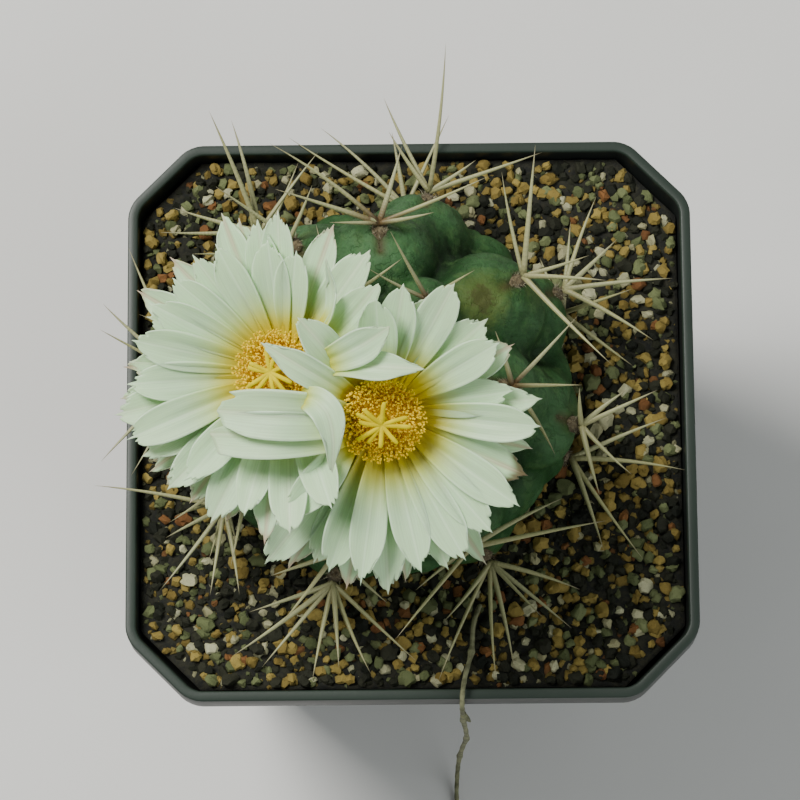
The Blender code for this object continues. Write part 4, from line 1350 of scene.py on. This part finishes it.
def make_petals(settings):
    """The petals of both flowers, each flower as one piece with a thin skin."""
    points, faces = sheet_kind(20, 28)
    # The rows stand closer towards the tip, where the teeth are.
    points[:, 1] = 1 - (1 - points[:, 1]) ** 1.15
    finish = petal_finish(settings)
    for side in FLOWERS:
        draw = random.Random(side + "-petal-edges")
        copies = [petal_copy((points, faces), *row, draw) for row in petal_rows(side)]
        piece = joined(side + "-petals", copies, finish, ("petal", "tone"))
        apply(piece, "SOLIDIFY", thickness=PETAL_SKIN * MM, offset=0.0, use_quality_normals=True)
        piece.data.shade_smooth()
        shown(piece, "petals", side + "-bloom-petals")


def cup_finish():
    """The flower tube's skin and its scales: green-brown with a reddish middle and pale edges."""
    finish = Finish("scaly tube", (0.16, 0.22, 0.07), 0.55)
    across, along, _ = finish.parts(finish.on_map("petal"))
    from_rib = finish.from_middle(across)
    streak = finish.clouds(finish.on_map("petal", (14.0, 1.5, 1.0)), 1.0, 3.0)
    finish.tint(finish.eased(along, 0.1, 0.8), (0.30, 0.10, 0.07))
    finish.tint(finish.eased(streak, 0.4, 0.65), (0.38, 0.30, 0.18), 0.4)
    finish.tint(finish.eased(from_rib, 0.22, 0.46), (0.66, 0.60, 0.44))
    return finish.done(streak, 0.4, 0.12)


def tube_centre(side, share):
    """A point of the flower tube's axis, from its root in the wool to its throat."""
    throat, _, _, out = flower_frame(side)
    root = FLOWERS[side]["root"]
    bend = throat - out * CUP_DEPTH * 1.4
    return root.lerp(bend, share).lerp(bend.lerp(throat, share), share)


def tube_radius(share):
    """The flower tube's radius along its axis."""
    return TUBE_RADIUS * 0.9 + (CUP_RADIUS - 0.4 - TUBE_RADIUS * 0.9) * max(0.0, (share - 0.3) / 0.7) ** 1.4


def tube_frame(side, share, angle):
    """A place on the flower tube with its outward and its upward direction."""
    centre = tube_centre(side, share)
    up = (tube_centre(side, min(1.0, share + 0.05)) - tube_centre(side, share - 0.05)).normalized()
    outwards = between(*axes_round(up), angle)
    return centre + outwards * tube_radius(share), outwards, up


def scale_copy(kind, side, share, angle, length, width, draw):
    """A scale of the flower tube: a small pointed leaf pressed against it."""
    foot, outwards, up = tube_frame(side, share, angle)
    across = up.cross(outwards)
    lean = draw.uniform(0.12, 0.30)
    points, petal = [], []
    for x, y, _ in kind[0]:
        half = width / 2 * (0.75 + 0.45 * y) * math.sqrt(max(0.0, 1 - y ** 2.4))
        bulge = 0.5 + lean * y * y * length * 0.5 - 0.9 * (x * half) ** 2 / (tube_radius(share) * 2)
        points.append(foot + up * y * length + across * x * half + outwards * bulge)
        petal.append(((x + 1) / 2, y))
    return np.array(points), kind[1], {"petal": np.array(petal)}


def tube_copy(side):
    """The flower tube's own skin, closed at both ends, its top under the stamens."""
    points, faces = rod_kind(11, vertices=28, end_fill_type="TRIFAN")
    placed, petal = [], []
    for x, y, z in points:
        angle = math.atan2(y, x)
        place, outwards, _ = tube_frame(side, 0.9 * z, angle)
        placed.append(place + outwards * tube_radius(0.9 * z) * (math.hypot(x, y) - 1))
        petal.append((0.5 + 0.1 * math.sin(3 * angle), 0.3 * z))
    return np.array(placed), faces, {"petal": np.array(petal)}


def make_tubes():
    """The short scaly tube under each flower."""
    kind = sheet_kind(6, 9)
    finish = cup_finish()
    for side in FLOWERS:
        draw = random.Random(side + "-scales")
        scales = []
        for k in range(TUBE_SCALES):
            share = grown(SCALE_PLACE, k / TUBE_SCALES)
            size = grown(SCALE_LENGTH, share), grown(SCALE_WIDTH, share)
            scales.append(scale_copy(kind, side, share, k * math.radians(SCALE_TURN), *size, draw))
        piece = joined(side + "-scales", scales, finish, ("petal",))
        apply(piece, "SOLIDIFY", thickness=SCALE_SKIN * MM, offset=0.0)
        shown(piece, "petals")
        tube = joined(side + "-tube", [tube_copy(side)], finish, ("petal",))
        outward(tube)
        shown(tube, "petals")


def anther_kind():
    """An anther: a small bead, drawn out sideways into two lobes."""
    bead = started("ico_sphere", subdivisions=1, radius=1.0)
    pick(bead, "VERT", lambda v: abs(v.co.x) > 0.4)
    bpy.ops.transform.resize(value=(1.25, 1.0, 0.9), center_override=(0, 0, 0))
    return take(bead)


def stamen_place(side, k, count, draw):
    """A stamen's foot and head, from a spiral over the disc: the outer ones lean out and stand taller."""
    throat, across, up, out = flower_frame(side)
    share = math.sqrt((k + 0.5) / count)
    angle = k * math.radians(STAMEN_TURN) + stray(draw, 0.1)
    flat = between(across, up, angle)
    foot = throat + flat * grown(STAMEN_FOOT, share) + out * (0.5 - 0.5 * share)
    tall = grown(STAMEN_HEIGHT, share) + stray(draw, 0.6)
    head = throat + flat * (grown(STAMEN_HEAD, share) + stray(draw, 0.35)) + out * tall
    return foot, head


def make_stamens(settings):
    """The dense disc of golden anthers on their filaments, over a low core."""
    bead, thread = anther_kind(), hair_kind()
    golden = plain_finish("golden anthers", (0.80, 0.53, 0.006), (0.96, 0.70, 0.012), 0.8, 0.7, 0.1)
    amber = plain_finish("amber filaments", (0.80, 0.51, 0.004), (0.92, 0.64, 0.008), 0.7, 0.6, 0.05)
    for side in FLOWERS:
        draw = random.Random(side + "-stamens")
        anthers, threads = [], [core_copy(side)]
        for k in range(settings.stamens):
            foot, head = stamen_place(side, k, settings.stamens, draw)
            along = (head - foot).normalized()
            turn = along.to_track_quat("Z", "Y").to_matrix() @ Matrix.Rotation(draw.uniform(0, 3), 3, "Z")
            size = np.array(ANTHER_SIZE) * draw.uniform(0.8, 1.2)
            anthers.append(((bead[0] * size) @ np.array(turn).T + np.array(head), bead[1], {}))
            threads.append(hair_copy(thread, foot, along, (head - foot).length, THREAD_RADIUS, Vector()))
        shown(joined(side + "-anthers", anthers, golden), "stamens", side + "-bloom-stamens")
        shown(joined(side + "-filaments", threads, amber, smooth=False), "stamens")


def core_copy(side):
    """The low cushion from which the filaments rise."""
    core = started("cylinder", vertices=32, radius=CORE_RADIUS, depth=CORE_HEIGHT, location=(0, 0, 0.3))
    pick(core, "FACE", lambda f: f.normal.z > 0.9)
    bpy.ops.mesh.inset(thickness=1.2)
    bpy.ops.transform.translate(value=(0, 0, 0.5))
    points, faces = take(core)
    return on_flower(side, points), faces, {}


def lobe_kind():
    """A stigma lobe of length 1: a rounded finger along +X."""
    finger = started("cylinder", vertices=8, depth=1.0, rotation=(0, math.pi / 2, 0), location=(0.5, 0, 0))
    cut_rings(finger, 5)
    pick(finger, "FACE", lambda f: abs(f.normal.z) > 0.9)
    bpy.ops.mesh.inset(thickness=0.45)
    return take(finger)


def lobe_copy(kind, side, angle, length, lift, draw):
    """A lobe of the stigma star, arching out from the style's top."""
    throat, across, up, out = flower_frame(side)
    flat = between(across, up, angle)
    beside = out.cross(flat)
    top = throat + out * (STYLE_HEIGHT - 0.25)
    bend = stray(draw, 0.5)
    points = []
    for x, y, z in kind[0]:
        wide = grown(LOBE_RADIUS, x)
        tip = 1 - 0.25 * max(0.0, (x - 0.8) / 0.2) ** 2
        centre = top + flat * length * x + out * (lift * x - 0.9 * x * x) + beside * bend * x * x
        points.append(centre + beside * y * wide * tip + out * z * wide * tip * 0.8)
    return np.array(points), kind[1], {}


def make_stigmas():
    """The style and the star of yellow stigma lobes in each flower."""
    kind, column = lobe_kind(), spine_kind()
    finish = plain_finish("yellow stigma", (0.60, 0.48, 0.0), (0.72, 0.59, 0.0), 0.6, 0.5, 0.06, 0.05)
    x, y, z = column[0].T
    wide = grown(STYLE_RADIUS, z)
    style = np.stack([x * wide, y * wide, z * (STYLE_HEIGHT + 0.1)], axis=1)
    for side in FLOWERS:
        draw = random.Random(side + "-stigma")
        copies = [(on_flower(side, style), column[1], {})]
        for bearing in STIGMA_LOBES[side]:
            length = STIGMA_LENGTH * draw.uniform(0.82, 1.08)
            copies.append(lobe_copy(kind, side, math.radians(bearing), length, draw.uniform(0.7, 1.7), draw))
        piece = joined(side + "-stigma", copies, finish)
        apply(piece, "SUBSURF", levels=1, render_levels=1)
        outward(piece)
        piece.data.shade_smooth()
        shown(piece, "stigma", side + "-bloom-style")


# The dry stem.

def stem_copy(line):
    """The stem's skin round its line, in rings that swell at its nodes."""
    rows, faces = [], []
    for k, point in enumerate(line):
        along = (line[min(k + 1, len(line) - 1)] - line[max(k - 1, 0)]).normalized()
        side = along.cross(Vector((1, 0, 0))).normalized()
        across = along.cross(side)
        swell = max(math.exp(-((k - ROUTE_STEPS * node) / 0.8) ** 2) for node in STEM_NODES)
        wide = STEM_RADIUS * (1 + 0.55 * swell + 0.08 * math.sin(k * 1.9))
        for s in range(STEM_SIDES):
            rows.append(point + between(side, across, math.tau * s / STEM_SIDES) * wide)
    for ring in range(0, len(rows) - STEM_SIDES, STEM_SIDES):
        for s in range(STEM_SIDES):
            here, after = ring + s, ring + (s + 1) % STEM_SIDES
            faces.append((here, after, after + STEM_SIDES, here + STEM_SIDES))
    faces += [tuple(range(STEM_SIDES - 1, -1, -1)), tuple(range(len(rows) - STEM_SIDES, len(rows)))]
    return np.array(rows), faces, {}


def make_stem():
    """The dry stem with its swollen nodes, and the bud that is left on it."""
    route = [Vector(p) for p in STEM_ROUTE]
    steps = ROUTE_STEPS * (len(route) - 1)
    stem = stem_copy([smooth_route(route, k / steps) for k in range(steps + 1)])
    foot, end = (Vector(p) for p in STEM_BUD)
    middle = (foot + end) / 2 + Vector((0.2, -0.2, 0))
    bud = spine_copy(spine_kind(), foot, middle, end, BUD_RADIUS, 0.0, 0.0)
    finish = plain_finish("dry stem", (0.085, 0.088, 0.042), (0.20, 0.205, 0.11), 0.85, 0.5, 0.1)
    piece = joined("dried-stem", [stem, bud], finish)
    outward(piece)
    return shown(piece, "stem", "dry-stem")


# The stage.

def make_camera():
    """The camera, as the photograph was taken."""
    place, right, up, back = camera_axes()
    bpy.ops.object.camera_add(location=place * MM)
    camera = bpy.context.object
    camera.rotation_mode = "QUATERNION"
    camera.rotation_quaternion = Matrix((right, up, back)).transposed().to_quaternion()
    camera.data.sensor_width = SENSOR
    camera.data.lens = FOCAL_PIXELS * SENSOR / PICTURE
    camera.data.clip_end = 20
    bpy.context.scene.camera = camera


def make_light(name, place, size, power, colour):
    """A soft square light that faces the plant."""
    let_go()
    bpy.ops.object.light_add(type="AREA", location=place)
    light = bpy.context.object
    light.name = name
    light.data.energy = power
    light.data.size = size
    light.data.color = colour
    light.rotation_euler = (Vector((0, 0, 0.1)) - Vector(place)).to_track_quat("-Z", "Y").to_euler()


def make_stage(settings):
    """The pale floor, the soft lights and the camera."""
    let_go()
    bpy.ops.mesh.primitive_plane_add(size=FLOOR_SIZE, location=(0, 0, 0))
    floor = bpy.context.object
    shade = [c * 0.97 for c in settings.floor]
    named(floor, "floor", plain_finish("pale floor", settings.floor, shade, 0.9, 0.01, 0.02))
    for name, (place, size, colour) in LIGHTS.items():
        make_light(name + " light", place, size, getattr(settings, name), colour)
    world = bpy.data.worlds.new("studio")
    bpy.context.scene.world = world
    world.use_nodes = True
    sky = world.node_tree.nodes["Background"].inputs
    sky["Color"].default_value = SKY
    sky["Strength"].default_value = SKY_POWER
    make_camera()


# Operators, one for each piece or group of like pieces.

class THELO_OT_pot(bpy.types.Operator):
    """Makes the moulded pot"""
    bl_idname = "thelo.pot"
    bl_label = "Pot"

    def execute(self, context):
        make_pot(context.scene.thelo_pot)
        return {"FINISHED"}


class THELO_OT_grit(bpy.types.Operator):
    """Fills the pot with grit"""
    bl_idname = "thelo.grit"
    bl_label = "Grit"

    def execute(self, context):
        make_grit(context.scene.thelo_grit)
        return {"FINISHED"}


class THELO_OT_body(bpy.types.Operator):
    """Makes the tubercled body"""
    bl_idname = "thelo.body"
    bl_label = "Body"

    def execute(self, context):
        make_body(context.scene.thelo_body)
        return {"FINISHED"}


class THELO_OT_spines(bpy.types.Operator):
    """Makes the spines"""
    bl_idname = "thelo.spines"
    bl_label = "Spines"

    def execute(self, context):
        make_spines(context.scene.thelo_spines)
        return {"FINISHED"}


class THELO_OT_wool(bpy.types.Operator):
    """Makes the wool of the areoles and the crown"""
    bl_idname = "thelo.wool"
    bl_label = "Wool"

    def execute(self, context):
        make_wool()
        return {"FINISHED"}


class THELO_OT_petals(bpy.types.Operator):
    """Makes the petals"""
    bl_idname = "thelo.petals"
    bl_label = "Petals"

    def execute(self, context):
        make_petals(context.scene.thelo_flowers)
        return {"FINISHED"}


class THELO_OT_tubes(bpy.types.Operator):
    """Makes the scaly flower tubes"""
    bl_idname = "thelo.tubes"
    bl_label = "Flower tubes"

    def execute(self, context):
        make_tubes()
        return {"FINISHED"}


class THELO_OT_stamens(bpy.types.Operator):
    """Makes the stamens"""
    bl_idname = "thelo.stamens"
    bl_label = "Stamens"

    def execute(self, context):
        make_stamens(context.scene.thelo_flowers)
        return {"FINISHED"}


class THELO_OT_stigmas(bpy.types.Operator):
    """Makes the styles and stigmas"""
    bl_idname = "thelo.stigmas"
    bl_label = "Stigmas"

    def execute(self, context):
        make_stigmas()
        return {"FINISHED"}


class THELO_OT_stem(bpy.types.Operator):
    """Makes the dry stem"""
    bl_idname = "thelo.stem"
    bl_label = "Dry stem"

    def execute(self, context):
        make_stem()
        return {"FINISHED"}


class THELO_OT_stage(bpy.types.Operator):
    """Makes the floor, lights and camera"""
    bl_idname = "thelo.stage"
    bl_label = "Stage"

    def execute(self, context):
        make_stage(context.scene.thelo_stage)
        return {"FINISHED"}


class THELO_PT_panel(bpy.types.Panel):
    """Lists the settings and the operators"""
    bl_label = "Potted thelocactus"
    bl_idname = "THELO_PT_panel"
    bl_space_type = "VIEW_3D"
    bl_region_type = "UI"
    bl_category = "Thelocactus"

    def draw(self, context):
        for name, kind in SETTINGS.items():
            settings = getattr(context.scene, name)
            for key in kind.__annotations__:
                self.layout.prop(settings, key)
        for operator in OPERATORS:
            self.layout.operator(operator.bl_idname)


SETTINGS = {
    "thelo_pot": PotSettings,
    "thelo_grit": GritSettings,
    "thelo_body": BodySettings,
    "thelo_spines": SpineSettings,
    "thelo_flowers": FlowerSettings,
    "thelo_stage": StageSettings,
}
OPERATORS = (
    THELO_OT_pot, THELO_OT_grit, THELO_OT_body, THELO_OT_spines, THELO_OT_wool, THELO_OT_petals,
    THELO_OT_tubes, THELO_OT_stamens, THELO_OT_stigmas, THELO_OT_stem, THELO_OT_stage,
)


def register():
    for name, kind in SETTINGS.items():
        bpy.utils.register_class(kind)
        setattr(bpy.types.Scene, name, PointerProperty(type=kind))
    for kind in (*OPERATORS, THELO_PT_panel):
        bpy.utils.register_class(kind)


def unregister():
    for kind in (THELO_PT_panel, *reversed(OPERATORS)):
        bpy.utils.unregister_class(kind)
    for name, kind in SETTINGS.items():
        delattr(bpy.types.Scene, name)
        bpy.utils.unregister_class(kind)


def main():
    """Makes everything in order."""
    register()
    for operator in OPERATORS:
        group, name = operator.bl_idname.split(".")
        getattr(getattr(bpy.ops, group), name)()
    let_go()


if __name__ == "__main__":
    main()
